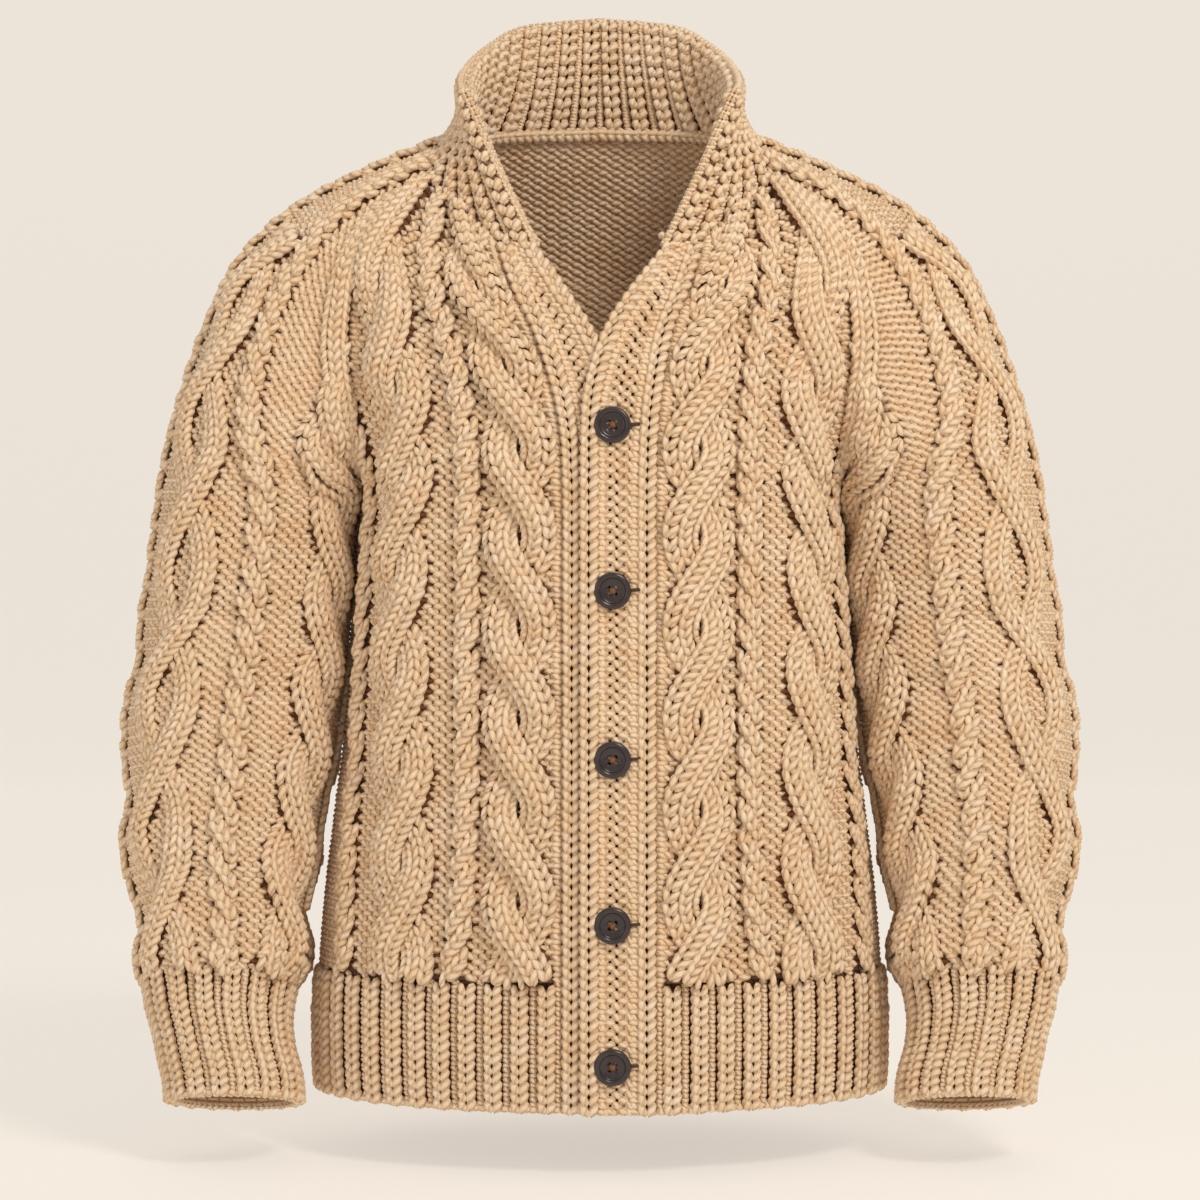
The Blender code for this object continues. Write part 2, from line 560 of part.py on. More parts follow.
def body_lines(up, shift):
    """Distances of the grid columns of a body panel, by its rows' lengths."""

    def distance(length):
        cuts = body_cuts(up, shift)
        ends = [0 * length, cuts, length] if not shift else [0 * length, 0 * length + ROPE_HALF]
        ends = ends if not shift else ends + [cuts, length]
        return in_order(np.concatenate(ends, axis=1), length)

    return distance


def even_lines(count):
    return lambda length: length * np.linspace(0, 1, count)


def band_panel(up, over):
    """A front band: a knit column at each edge and moss stitch between, on the wearer's left."""
    seam, edge = columns(BANDS, up)[[0, 1] if over else [2, 3]]
    x = edge[:, None] + (seam - edge)[:, None] * np.array(BAND_CUTS)
    level = np.maximum(up, 0)[:, None]
    share = share_at(FRONT, level, x)
    points, normals = front(level, share), facing(front, level, share, (0, 0, -0.35))
    points[..., 2] += np.minimum(up, 0)[:, None]
    relief = np.array(BAND_RISE)
    if over:
        points = points + normals * band_lift(level)[..., None]
    else:
        relief = relief * ramp(up, 0.5, 0.55)[:, None]
    return panel(points, normals, relief)


def collar_panel(ribs_round, rows):
    """The stand collar, with raised ribs from the neck seam to the rim."""
    around = np.linspace(-1, 1, 2 * ribs_round + 1)[None]
    height = np.linspace(0, 1, rows)[:, None]
    line = np.arange(around.size) % 2
    relief = RIB_HEIGHT * line * ramp(height, 0, 0.12) * (0.3 + 0.7 * ramp(1 - height, 0, 0.1))
    normals = facing(collar, around, height, (0, 0.0, -0.05))
    return panel(collar(around, height), normals, relief, wall=COLLAR_WALL, gap=COLLAR_GAP)


def sleeve_panel(low_rows, head_along):
    """The wearer's left sleeve from the top of its cuff to the neck."""
    along = np.concatenate([np.linspace(CUFF_TOP, HEAD[0][0], low_rows)[:-1], head_along])
    sides = []
    for side in (-1, 1):
        limb = lambda level, share, side=side: sleeve(level, side * share)
        found = shares_along(
            limb, along, np.zeros(len(along)), lambda half: in_order(sleeve_cuts(half), half)
        )
        sides.append((side * found[0], found[1], found[2]))
    turn = np.concatenate([sides[0][0][:, :0:-1], sides[1][0]], axis=1)
    across = np.concatenate([sides[0][1][:, :0:-1], sides[1][1]], axis=1)
    middle = sides[0][1].shape[1] - 1
    half = np.where(np.arange(turn.shape[1]) < middle, sides[0][2], sides[1][2])
    level = along[:, None]
    relief = sleeve_relief(across, level, half) * ramp(half - across, 0.0, 0.008)
    relief = relief * ramp(level, CUFF_TOP, CUFF_TOP + 0.01) * ramp(HEAD[-1][0] - level, 0, 0.012)
    points = sleeve(level, turn)
    normals = facing(sleeve, level, turn, (0.2, 0, -0.35))
    return panel(points, normals, relief, closed=low_rows - 1, gap=SLEEVE_GAP)


def cuff_panel(ribs_round, rows):
    """A cuff: a closed ring of ribs."""
    along = np.linspace(0, CUFF_TOP, rows)[:, None]
    turn = np.linspace(-1, 1, 2 * ribs_round + 1)[None]
    line = np.arange(turn.size) % 2
    relief = RIB_HEIGHT * line * rib_ends(along, CUFF_TOP)
    normals = facing(ring, along, turn, (0.257, -0.055, -0.62))
    return panel(ring(along, turn), normals, relief, closed=rows)


def button(name, up):
    """A four-hole button, turned on a lathe: a dished face inside a raised rim."""
    radius = BUTTON_WIDTH / 2
    mesh = bpy.data.meshes.new(name)
    points = [(r * radius, 0, h * BUTTON_HEIGHT) for r, h in BUTTON_PROFILE]
    mesh.from_pydata(points, [(i, i + 1) for i in range(len(points) - 1)], [])
    mesh.materials.append(HORN)
    obj = bpy.data.objects.new(name, mesh)
    cardigan.objects.link(obj)
    screw = obj.modifiers.new("turned", "SCREW")
    screw.steps = screw.render_steps = 16
    screw.use_merge_vertices = True
    screw.merge_threshold = 1e-5
    share = share_at(FRONT, np.array([up]), BUTTON_X)
    level = np.array([up])
    normal = facing(front, level, share, (0, 0, -0.35))[0]
    seat = front(level, share)[0] + normal * (BAND_LIFT + BUTTON_SEAT)
    turn = mathutils.Vector(normal).to_track_quat("Z", "Y").to_matrix().to_4x4()
    obj.matrix_world = mathutils.Matrix.Translation(seat) @ turn
    for i in range(4):
        x, y = HOLE_OUT * (1 if i % 2 else -1), HOLE_OUT * (1 if i > 1 else -1)
        drill(obj, f"{name}_hole_{i + 1}", mathutils.Vector((x, y, 0)))


def drill(obj, name, at):
    """Cuts one thread hole."""
    mesh = bpy.data.meshes.new(name)
    work = bmesh.new()
    bmesh.ops.create_cone(
        work, cap_ends=True, segments=6, radius1=HOLE_RADIUS, radius2=HOLE_RADIUS, depth=0.012
    )
    work.to_mesh(mesh)
    work.free()
    cutter = bpy.data.objects.new(name, mesh)
    cutters.objects.link(cutter)
    cutter.hide_render = True
    cutter.display_type = "WIRE"
    cutter.matrix_world = obj.matrix_world @ mathutils.Matrix.Translation(at)
    cut = obj.modifiers.new(name, "BOOLEAN")
    cut.object = cutter
    cut.operation = "DIFFERENCE"
    cut.solver = "EXACT"


def new_material(name, color, roughness):
    material = bpy.data.materials.new(name)
    material.use_nodes = True
    shader = material.node_tree.nodes["Principled BSDF"]
    shader.inputs["Base Color"].default_value = (*color, 1)
    shader.inputs["Roughness"].default_value = roughness
    return material


for old in list(bpy.data.objects):
    bpy.data.objects.remove(old, do_unlink=True)
cardigan = bpy.data.collections.new("stand_collar_cardigan")
bpy.context.scene.collection.children.link(cardigan)
cutters = bpy.data.collections.new("cutters")
cutters.hide_render = True
bpy.context.scene.collection.children.link(cutters)
HORN = new_material("dark horn plastic", (0.025, 0.018, 0.02), 0.3)

HEAD_ROWS = np.delete(np.linspace(0, 7, 15), 1)
head_along = np.interp(HEAD_ROWS, range(8), [row[0] for row in HEAD])
front_up, back_up = columns(HEAD, head_along)[:2]
front_up = np.concatenate([np.linspace(HEM_TOP, front_up[0], 23)[:-1], front_up])
back_up = np.concatenate([np.linspace(HEM_TOP, back_up[0], 17)[:-1], back_up])
hem_up = np.array((0.0, 0.012, HEM_TOP))
band_up = np.concatenate([(-0.004, 0.012), front_up[:22:3], front_up[22:]])

panels = {
    "front_left": front_panel(front_up, True, body_lines(front_up, 0), cables(0, 0.613)),
    "front_right": front_panel(front_up, False, body_lines(front_up, 0), cables(0, 0.613)),
    "back": back_panel(back_up, body_lines(back_up, BACK_SHIFT), cables(BACK_SHIFT, 0.685)),
    "sleeve_left": sleeve_panel(19, head_along),
    "collar": collar_panel(28, 6),
    "buttonhole_band": band_panel(band_up, True),
    "button_band": band_panel(band_up, False),
    "hem_left": front_panel(hem_up, True, even_lines(25), ribs),
    "hem_right": front_panel(hem_up, False, even_lines(27), ribs),
    "hem_back": back_panel(hem_up, even_lines(30), ribs),
    "cuff_left": cuff_panel(17, 4),
}
for name in ("front_right", "button_band", "hem_right"):
    panels[name] = mirrored(panels[name])
for name in ("sleeve", "cuff"):
    panels[f"{name}_right"] = mirrored(panels[f"{name}_left"])
share_rims(panels)
for name, piece in panels.items():
    wool = new_material(f"{name} wool", (0.72, 0.53, 0.33), 0.9)
    wall_object(name, piece, wool, *(INSIDE_STEPS.get(name.split("_")[0], PLAIN_STEPS)))
for number, up in enumerate(BUTTONS_UP, 1):
    button(f"button_{number}", up)
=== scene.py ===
"""Stand collar cardigan in thick cable knit: the looks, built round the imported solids.

Every knitted piece is a thin closed shell of cloth with its stitches laid on it, each a bight of
plied yarn. Metres, +Z up, the front faces -Y. `up` and `along` are lengths along the knitting, and
`across` is a length along one row of it. Pieces for the wearer's right are worked out on the left
and mirrored.
"""

import bpy
import mathutils
import numpy as np
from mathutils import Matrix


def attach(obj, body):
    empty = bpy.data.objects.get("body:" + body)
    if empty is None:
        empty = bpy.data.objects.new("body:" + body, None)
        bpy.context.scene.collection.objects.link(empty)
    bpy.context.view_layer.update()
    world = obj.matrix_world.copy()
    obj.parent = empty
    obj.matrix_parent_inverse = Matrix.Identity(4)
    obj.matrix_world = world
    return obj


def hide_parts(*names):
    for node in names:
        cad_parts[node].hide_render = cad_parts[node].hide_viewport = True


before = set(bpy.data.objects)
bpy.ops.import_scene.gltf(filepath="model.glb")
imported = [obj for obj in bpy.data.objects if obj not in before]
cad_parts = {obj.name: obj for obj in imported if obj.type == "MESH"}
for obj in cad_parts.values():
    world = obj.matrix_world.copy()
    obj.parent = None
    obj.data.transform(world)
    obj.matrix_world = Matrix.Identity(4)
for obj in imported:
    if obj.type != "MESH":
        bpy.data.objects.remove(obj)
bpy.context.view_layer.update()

# ---------------------------------------------------------------------------------------------
# The yarn. Soft two-ply wool in pale camel, spun thick, so that its plies show as slanting lines
# on every stitch, with painted shade in their grooves and at each stitch's ends. The cloth behind
# the stitches is the same wool painted in their shade, as painted shade in the gaps between them.
# ---------------------------------------------------------------------------------------------


def rgb(text):
    """A hex colour as linear RGBA: c/12.92 up to 0.04045, else ((c + 0.055)/1.055)^2.4."""
    values = np.array([int(text[i : i + 2], 16) for i in (1, 3, 5)]) / 255
    linear = np.where(values <= 0.04045, values / 12.92, ((values + 0.055) / 1.055) ** 2.4)
    return (*linear.tolist(), 1.0)


def node(tree, kind, settings=None, inputs=None):
    """Adds a shader node. An input is a value or another node's output socket."""
    made = tree.nodes.new("ShaderNode" + kind)
    for name, value in (settings or {}).items():
        setattr(made, name, value)
    for name, value in (inputs or {}).items():
        if isinstance(value, bpy.types.NodeSocket):
            tree.links.new(value, made.inputs[name])
        else:
            made.inputs[name].default_value = value
    return made


def math(tree, operation, a, b=0.0, c=0.0):
    """The output of a Math node on numbers or sockets."""
    return node(tree, "Math", {"operation": operation}, {0: a, 1: b, 2: c}).outputs[0]


def mix(tree, factor, a, b):
    """The colour between a, at factor 0, and b, at factor 1."""
    return node(tree, "Mix", {"data_type": "RGBA"}, {0: factor, 6: a, 7: b}).outputs[2]


def noise(tree, scale, detail=2.0):
    """Noise over the object's own coordinates, from 0 to 1."""
    place = node(tree, "TexCoord").outputs["Object"]
    settings = {"Vector": place, "Scale": scale, "Detail": detail}
    return node(tree, "TexNoise", None, settings).outputs[0]


def material(name, roughness, sheen=0.0):
    """A new material, its tree and its Principled shader, with constants set on the sockets."""
    made = bpy.data.materials.new(name)
    made.use_nodes = True
    shader = made.node_tree.nodes["Principled BSDF"]
    shader.inputs["Roughness"].default_value = roughness
    shader.inputs["Sheen Weight"].default_value = sheen
    shader.inputs["Sheen Roughness"].default_value = 0.5
    shader.inputs["Sheen Tint"].default_value = rgb("#fff2dc")
    return made, made.node_tree, shader


def bumped(tree, shader, colour, height, strength, distance):
    """Joins a colour and a bump height to a shader."""
    tree.links.new(colour, shader.inputs["Base Color"])
    settings = {"Strength": strength, "Distance": distance, "Height": height}
    bump = node(tree, "Bump", None, settings)
    tree.links.new(bump.outputs[0], shader.inputs["Normal"])


FIBRES = 900.0  # clumps of fibres about 1.1 mm wide, the finest that show in the render
PATCHES = 38.0  # lighter and darker patches, about 26 mm wide


def plied_yarn(name, light, middle, shade):
    """Plies slanting round a stitch: a groove, bumped and darkened with painted shade, where
    sin(2 pi (2 v + 1.5 u)) is low, u along the stitch and v around it. Its two ends are darkened too,
    as painted shade where they dip under their neighbours. Fibres are fine noise, and each stitch has
    a tone of its own."""
    made, tree, shader = material(name, 0.9, sheen=0.25)
    yarn = node(tree, "UVMap", {"uv_map": "yarn"}).outputs[0]
    parts = node(tree, "SeparateXYZ", None, {0: yarn}).outputs
    tone = node(tree, "Attribute", {"attribute_name": "tone"}).outputs["Fac"]
    turns = math(tree, "MULTIPLY_ADD", parts[0], 1.5, math(tree, "MULTIPLY", parts[1], 2.0))
    ply = math(tree, "SINE", math(tree, "MULTIPLY", turns, 2 * np.pi))
    groove = math(tree, "POWER", math(tree, "MULTIPLY_ADD", ply, -0.5, 0.5), 3.0)
    fibres = noise(tree, FIBRES, 3.0)
    patchy = math(tree, "MULTIPLY_ADD", noise(tree, PATCHES), 0.9, -0.1)
    colour = mix(tree, math(tree, "MULTIPLY_ADD", tone, 0.3, patchy), rgb(middle), rgb(light))
    # Painted shade in the ply grooves: the colour darkens towards `shade` where the groove is deep,
    # and at random with the fibres.
    dark = math(tree, "MULTIPLY_ADD", fibres, 0.4, math(tree, "MULTIPLY_ADD", groove, 0.4, -0.20))
    # Painted shade at the stitch's two ends: the colour darkens towards `shade` as the fifth power of
    # the distance from its middle.
    ends = math(tree, "ABSOLUTE", math(tree, "MULTIPLY_ADD", parts[0], 2.0, -1.0))
    dark = math(tree, "MULTIPLY_ADD", math(tree, "POWER", ends, 5.0), 0.35, dark)
    height = math(tree, "MULTIPLY_ADD", fibres, 0.6, math(tree, "MULTIPLY", groove, -1.0))
    bumped(tree, shader, mix(tree, dark, colour, rgb(shade)), height, 0.6, 0.0008)
    return made


PURL_ROW, PURL_STEP = 0.0036, 0.0098  # from row to row of level bars, and from bar to bar
FUZZ = 700.0  # noise about 1.4 mm wide


def ground_wool(name, light, shade):
    """The cloth behind the stitches, seen in their gaps and from inside: short level bars of yarn,
    with painted shade, the `shade` colour, in the soft lines between them.
    """
    made, tree, shader = material(name, 0.95, sheen=0.2)
    rows = node(tree, "UVMap", {"uv_map": "cloth"}).outputs[0]
    settings = {"Vector": rows, "Scale": 1.0, "Mortar Size": 0.0012, "Mortar Smooth": 1.0}
    settings |= {"Brick Width": PURL_STEP, "Row Height": PURL_ROW, "Mortar": (0, 0, 0, 1)}
    settings |= {"Color1": (1, 1, 1, 1), "Color2": (0.8, 0.8, 0.8, 1)}
    bars = node(tree, "TexBrick", {"offset": 0.5}, settings).outputs[0]
    height = math(tree, "MULTIPLY_ADD", noise(tree, FUZZ), 0.5, bars)
    # Painted shade: the lines between the bars take the `shade` colour.
    bumped(tree, shader, mix(tree, bars, rgb(shade), rgb(light)), height, 0.7, 0.0012)
    return made


WOOL = plied_yarn("plied camel wool, hand knitted", "#feeacd", "#efc999", "#905022")
# Painted shade: the outer face of the cloth behind the stitches takes these dark colours for the
# shade in the gaps between them.
GROUND_IN_PAINTED_SHADE = ground_wool("camel wool behind the stitches, in painted shade", "#7e4c26", "#48260f")
WRONG_SIDE = ground_wool("camel wool, wrong side of the knitting", "#e3c09a", "#a8794c")


def unit(vectors):
    """Each vector divided by its length."""
    return vectors / np.maximum(np.linalg.norm(vectors, axis=-1, keepdims=True), 1e-12)


def mesh_piece(name, points, faces, look, layers=None):
    """A smooth mesh from arrays: faces of 3 or of 4 corners, and a UV array for each named map."""
    mesh = bpy.data.meshes.new(name)
    corners = np.concatenate([face.reshape(-1) for face in faces])
    counts = np.concatenate([np.full(len(face), face.shape[1]) for face in faces])
    mesh.vertices.add(len(points))
    mesh.vertices.foreach_set("co", points.astype(np.float32).reshape(-1))
    mesh.loops.add(len(corners))
    mesh.loops.foreach_set("vertex_index", corners.astype(np.int32))
    mesh.polygons.add(len(counts))
    mesh.polygons.foreach_set("loop_start", (np.cumsum(counts) - counts).astype(np.int32))
    for layer, values in (layers or {}).items():
        uv = mesh.uv_layers.new(name=layer)
        uv.data.foreach_set("uv", values.astype(np.float32).reshape(-1))
    mesh.update(calc_edges=True)
    mesh.shade_smooth()
    mesh.materials.append(look)
    obj = bpy.data.objects.new(name, mesh)
    bpy.context.scene.collection.objects.link(obj)
    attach(obj, "root")
    return obj


# The rings of a stitch, by how many it has: places from its middle, as shares of its half length,
# and widths against the full one.
RING_PLACES = {2: (-0.5, 0.5), 3: (-0.6, 0.0, 0.6)}
RING_SWELL = {2: (0.98, 0.98), 3: (0.88, 1.0, 0.88)}


def bights(name, grains, rings):
    """Stitches, each a closed spindle of four sides: centre + s L/2 along + r (cos t W/2 flank +
    sin t D/2 top) - bend s^2 top, s from -1 to 1. A grain is centre, along, top, L, W, D, bend."""
    count = len(grains)
    centre, along, top = grains[:, 0:3], grains[:, 3:6], grains[:, 6:9]
    length, width, depth, bend = grains[:, 9:13].T[..., None]
    flank = np.cross(along, top)
    shape = []
    for s, r in zip(RING_PLACES[rings], RING_SWELL[rings]):
        middle = centre + along * s * length / 2 - top * bend * s * s
        for out, rise in ((1, 0), (0, 1), (-1, 0), (0, -1)):
            shape.append(middle + flank * out * width / 2 * r + top * rise * depth / 2 * r)
    shape += [centre + along * s * length / 2 - top * bend for s in (-1, 1)]
    points = np.stack(shape, axis=1).reshape(-1, 3)
    low, high = 4 * rings, 4 * rings + 1
    place = [(1 + s) / 2 for s in RING_PLACES[rings]]
    ends, sides, end_uv, side_uv = [], [], [], []
    for i in range(4):
        j, last, v = (i + 1) % 4, 4 * (rings - 1), i / 4
        ends += [(low, i, j), (high, last + j, last + i)]
        end_uv += [(0, v + 0.125), (place[0], v), (place[0], v + 0.25)]
        end_uv += [(1, v + 0.125), (place[-1], v + 0.25), (place[-1], v)]
        for k in range(rings - 1):
            sides.append((4 * k + i, 4 * k + 4 + i, 4 * k + 4 + j, 4 * k + j))
            side_uv += [(place[k], v), (place[k + 1], v)]
            side_uv += [(place[k + 1], v + 0.25), (place[k], v + 0.25)]
    start = (np.arange(count) * (4 * rings + 2))[:, None, None]
    faces = [(start + np.array(part)).reshape(-1, len(part[0])) for part in (ends, sides)]
    yarn = np.concatenate([np.tile(np.array(uv), (count, 1)) for uv in (end_uv, side_uv)])
    # Each stitch has a cell of its own in the OFBake map, with a margin round it.
    across = int(np.ceil(np.sqrt(count)))
    cell = np.stack([np.arange(count) % across, np.arange(count) // across], axis=1)
    cells = np.concatenate([np.repeat(cell, len(uv), axis=0) for uv in (end_uv, side_uv)])
    layers = {"OFBake": (cells + 0.06 + 0.88 * yarn) / across, "yarn": yarn}
    obj = mesh_piece(name, points, faces, WOOL, layers)
    tone = np.random.default_rng(count).random(count)
    attribute = obj.data.attributes.new("tone", "FLOAT", "POINT")
    attribute.data.foreach_set("value", np.repeat(tone, 4 * rings + 2).astype(np.float32))
    return obj


# ---------------------------------------------------------------------------------------------
# The two fronts. Each is knitted flat from the hem ribbing up, with a raglan edge at the arm: an
# inner and an outer two-strand cable and two narrow ropes on purl ground, sewn to its front band.
# ---------------------------------------------------------------------------------------------

# One row per level of the body. The side column is the side seam and, above the underarm, the
# raglan seam. mid is the row where it meets the middle. sweep: the angle of the ellipse that the row
# covers from the middle to the side. full: how much fuller than that ellipse it is near the side.
# Columns: up, side_x, side_y, side_z, mid_y, mid_z, sweep, full.
FRONT = (
    (0.000, 0.1975, 0.0000, -0.657, -0.1306, -0.657, 90, 0.0010),
    (0.012, 0.1985, 0.0000, -0.645, -0.1312, -0.645, 90, 0.0020),
    (0.047, 0.1990, 0.0000, -0.610, -0.1320, -0.610, 90, 0.0030),
    (0.086, 0.1970, 0.0000, -0.571, -0.1315, -0.571, 90, 0.0040),
    (0.137, 0.1930, 0.0000, -0.520, -0.1310, -0.520, 90, 0.0045),
    (0.187, 0.1870, 0.0000, -0.470, -0.1300, -0.470, 90, 0.0050),
    (0.237, 0.1810, 0.0000, -0.420, -0.1290, -0.420, 90, 0.0060),
    (0.277, 0.1768, 0.0000, -0.380, -0.1280, -0.380, 90, 0.0075),
    (0.317, 0.1733, 0.0000, -0.340, -0.1270, -0.340, 90, 0.0095),
    (0.357, 0.1715, 0.0000, -0.300, -0.1260, -0.300, 90, 0.0115),
    (0.397, 0.1690, 0.0000, -0.260, -0.1250, -0.260, 90, 0.0140),
    (0.421, 0.1665, 0.0000, -0.236, -0.1245, -0.236, 90, 0.0160),
    (0.433, 0.1669, -0.0279, -0.230, -0.1240, -0.226, 79, 0.0110),
    (0.455, 0.1676, -0.0505, -0.211, -0.1220, -0.205, 69, 0.0050),
    (0.484, 0.1692, -0.0653, -0.180, -0.1190, -0.178, 62, 0.0010),
    (0.516, 0.1715, -0.0695, -0.145, -0.1150, -0.150, 59, 0.0000),
    (0.549, 0.1700, -0.0680, -0.105, -0.1090, -0.122, 58, 0.0000),
    (0.583, 0.1555, -0.0556, -0.060, -0.1020, -0.100, 61, 0.0000),
    (0.613, 0.1180, -0.0399, -0.0255, -0.0950, -0.082, 65, 0.0000),
)

# One row per height of the front bands, as x on the wearer's left: where a band meets its front,
# and its free edge. The wearer's right band is the same one turned over, with its own columns.
# Columns: up, over_seam, over_edge, under_seam, under_edge.
BANDS = (
    (0.000, 0.0375, -0.0136, 0.0265, -0.0245),
    (0.404, 0.0375, -0.0136, 0.0260, -0.0240),
    (0.445, 0.0385, -0.0134, 0.0272, -0.0225),
    (0.472, 0.0405, -0.0125, 0.0305, -0.0180),
    (0.500, 0.0440, -0.0080, 0.0370, -0.0090),
    (0.528, 0.0490, 0.0010, 0.0455, 0.0020),
    (0.560, 0.0595, 0.0155, 0.0580, 0.0180),
    (0.590, 0.0670, 0.0295, 0.0670, 0.0305),
    (0.613, 0.0727, 0.0425, 0.0727, 0.0430),
)
BAND_LIFT = 0.0056  # how far the buttonhole band lies in front of the button band
HEM_TOP = 0.086
FRONT_TOP = 0.613
BODY_MIDDLE = (0, 0, -0.35)

# Where the cables run: distance from the band seam, or on the back from near the middle, at each
# height up the piece, and their width against the full one.
# Columns: up, inner_cable, rope, outer_cable, side_rope, width.
CABLES = (
    (0.086, 0.0275, 0.0745, 0.1120, 0.1650, 1.0),
    (0.150, 0.0275, 0.0665, 0.1120, 0.1650, 1.0),
    (0.210, 0.0275, 0.0645, 0.1130, 0.1640, 1.0),
    (0.340, 0.0275, 0.0645, 0.1180, 0.1610, 1.0),
    (0.450, 0.0265, 0.0630, 0.1100, 0.1560, 1.0),
    (0.550, 0.0235, 0.0580, 0.0980, 0.1500, 0.9),
    (0.613, 0.0215, 0.0530, 0.0880, 0.1450, 0.8),
)

# Two-strand cables. repeat: length from one crossing to the next. start: a height where the strands
# are furthest apart. reach: how far each then is from the cable's middle. over: 1 where the upper
# strand leans to lower distances as it rises, -1 where it leans away. legs: lines of stitches in a
# strand, `pitch` apart. high: how far the upper strand stands out. row: length of one stitch. The
# lobe's strands lie on each other all the way, so that it shows as one.
CABLE_FIELDS = ("repeat", "start", "reach", "over", "legs", "pitch", "high", "row")
CABLE_KINDS = {
    "inner": (0.0608, 0.0795, 0.0134, -1, 5, 0.0048, 0.0100, 0.0069),
    "outer": (0.0655, 0.0957, 0.0134, 1, 5, 0.0048, 0.0100, 0.0069),
    "rope": (0.0200, 0.0000, 0.0048, 1, 2, 0.0048, 0.0050, 0.0068),
    "open": (0.0945, 0.0898, 0.0185, -1, 4, 0.0046, 0.0070, 0.0069),
    "sleeve": (0.0635, 0.0391, 0.0125, 1, 5, 0.0044, 0.0092, 0.0069),
    "lobe": (4.0, -1.45, 0.0, 1, 5, 0.0045, 0.0050, 0.0069),
    "knots": (0.0235, 0.0050, 0.0052, 1, 2, 0.0050, 0.0052, 0.0068),
}


def smooth(table, at):
    """The later columns of a table where its first is `at`: a cubic between each two rows, with
    the harmonic mean of the two rises at each row, which never overshoots."""
    table = np.asarray(table, float)
    key, rows = table[:, 0], table[:, 1:]
    rise = np.diff(rows, axis=0) / np.diff(key)[:, None]
    inside = rise[:-1] * rise[1:] > 0
    slope = np.zeros(rows.shape)
    slope[1:-1][inside] = (2 * rise[:-1] * rise[1:])[inside] / (rise[:-1] + rise[1:])[inside]
    slope[[0, -1]] = rise[[0, -1]]
    at = np.clip(np.asarray(at, float), key[0], key[-1])
    i = np.clip(np.searchsorted(key, at, side="right") - 1, 0, len(key) - 2)
    step = (key[i + 1] - key[i])[..., None]
    x = (at - key[i])[..., None] / step
    start = (2 * x**3 - 3 * x**2 + 1) * rows[i] + (x**3 - 2 * x**2 + x) * step * slope[i]
    return start + (3 * x**2 - 2 * x**3) * rows[i + 1] + (x**3 - x**2) * step * slope[i + 1]


def columns(table, at):
    """The later columns of a table where its first is `at`, one array for each."""
    return np.moveaxis(smooth(table, at), -1, 0)


def ramp(x, low, high):
    """0 up to low, 1 from high on, and t*t*(3 - 2t) between them."""
    t = np.clip((x - low) / (high - low), 0, 1)
    return t * t * (3 - 2 * t)


def body(table, up, share):
    """A row of the front or back: x = A sin a, y = mid_y + B (1 - cos a), a = share of the sweep. It
    is fuller by full sin(pi share^1.6)^2, and z goes from mid_z to side_z as (x/side_x)^2.6."""
    up, share = np.broadcast_arrays(up, share)
    side_x, side_y, side_z, mid_y, mid_z, sweep, full = columns(table, up)
    sweep = np.radians(sweep)
    angle = share * sweep
    x = side_x * np.sin(angle) / np.sin(sweep)
    y = mid_y + (side_y - mid_y) * (1 - np.cos(angle)) / (1 - np.cos(sweep))
    y = y + np.sign(mid_y) * full * np.sin(np.pi * np.abs(share) ** 1.6) ** 2
    z = mid_z + (side_z - mid_z) * np.abs(x / side_x) ** 2.6
    return np.stack([x, y, z], axis=-1)


def front(up, share):
    """A row of the front, by its share of the way round to the side."""
    return body(FRONT, up, share)


def share_at(table, up, x):
    """Where x lies on the rows, as a share of their sweep."""
    side_x, sweep = columns(table, up)[[0, 5]]
    sweep = np.radians(sweep)
    return np.arcsin(np.clip(x / side_x * np.sin(sweep), -1, 1)) / sweep


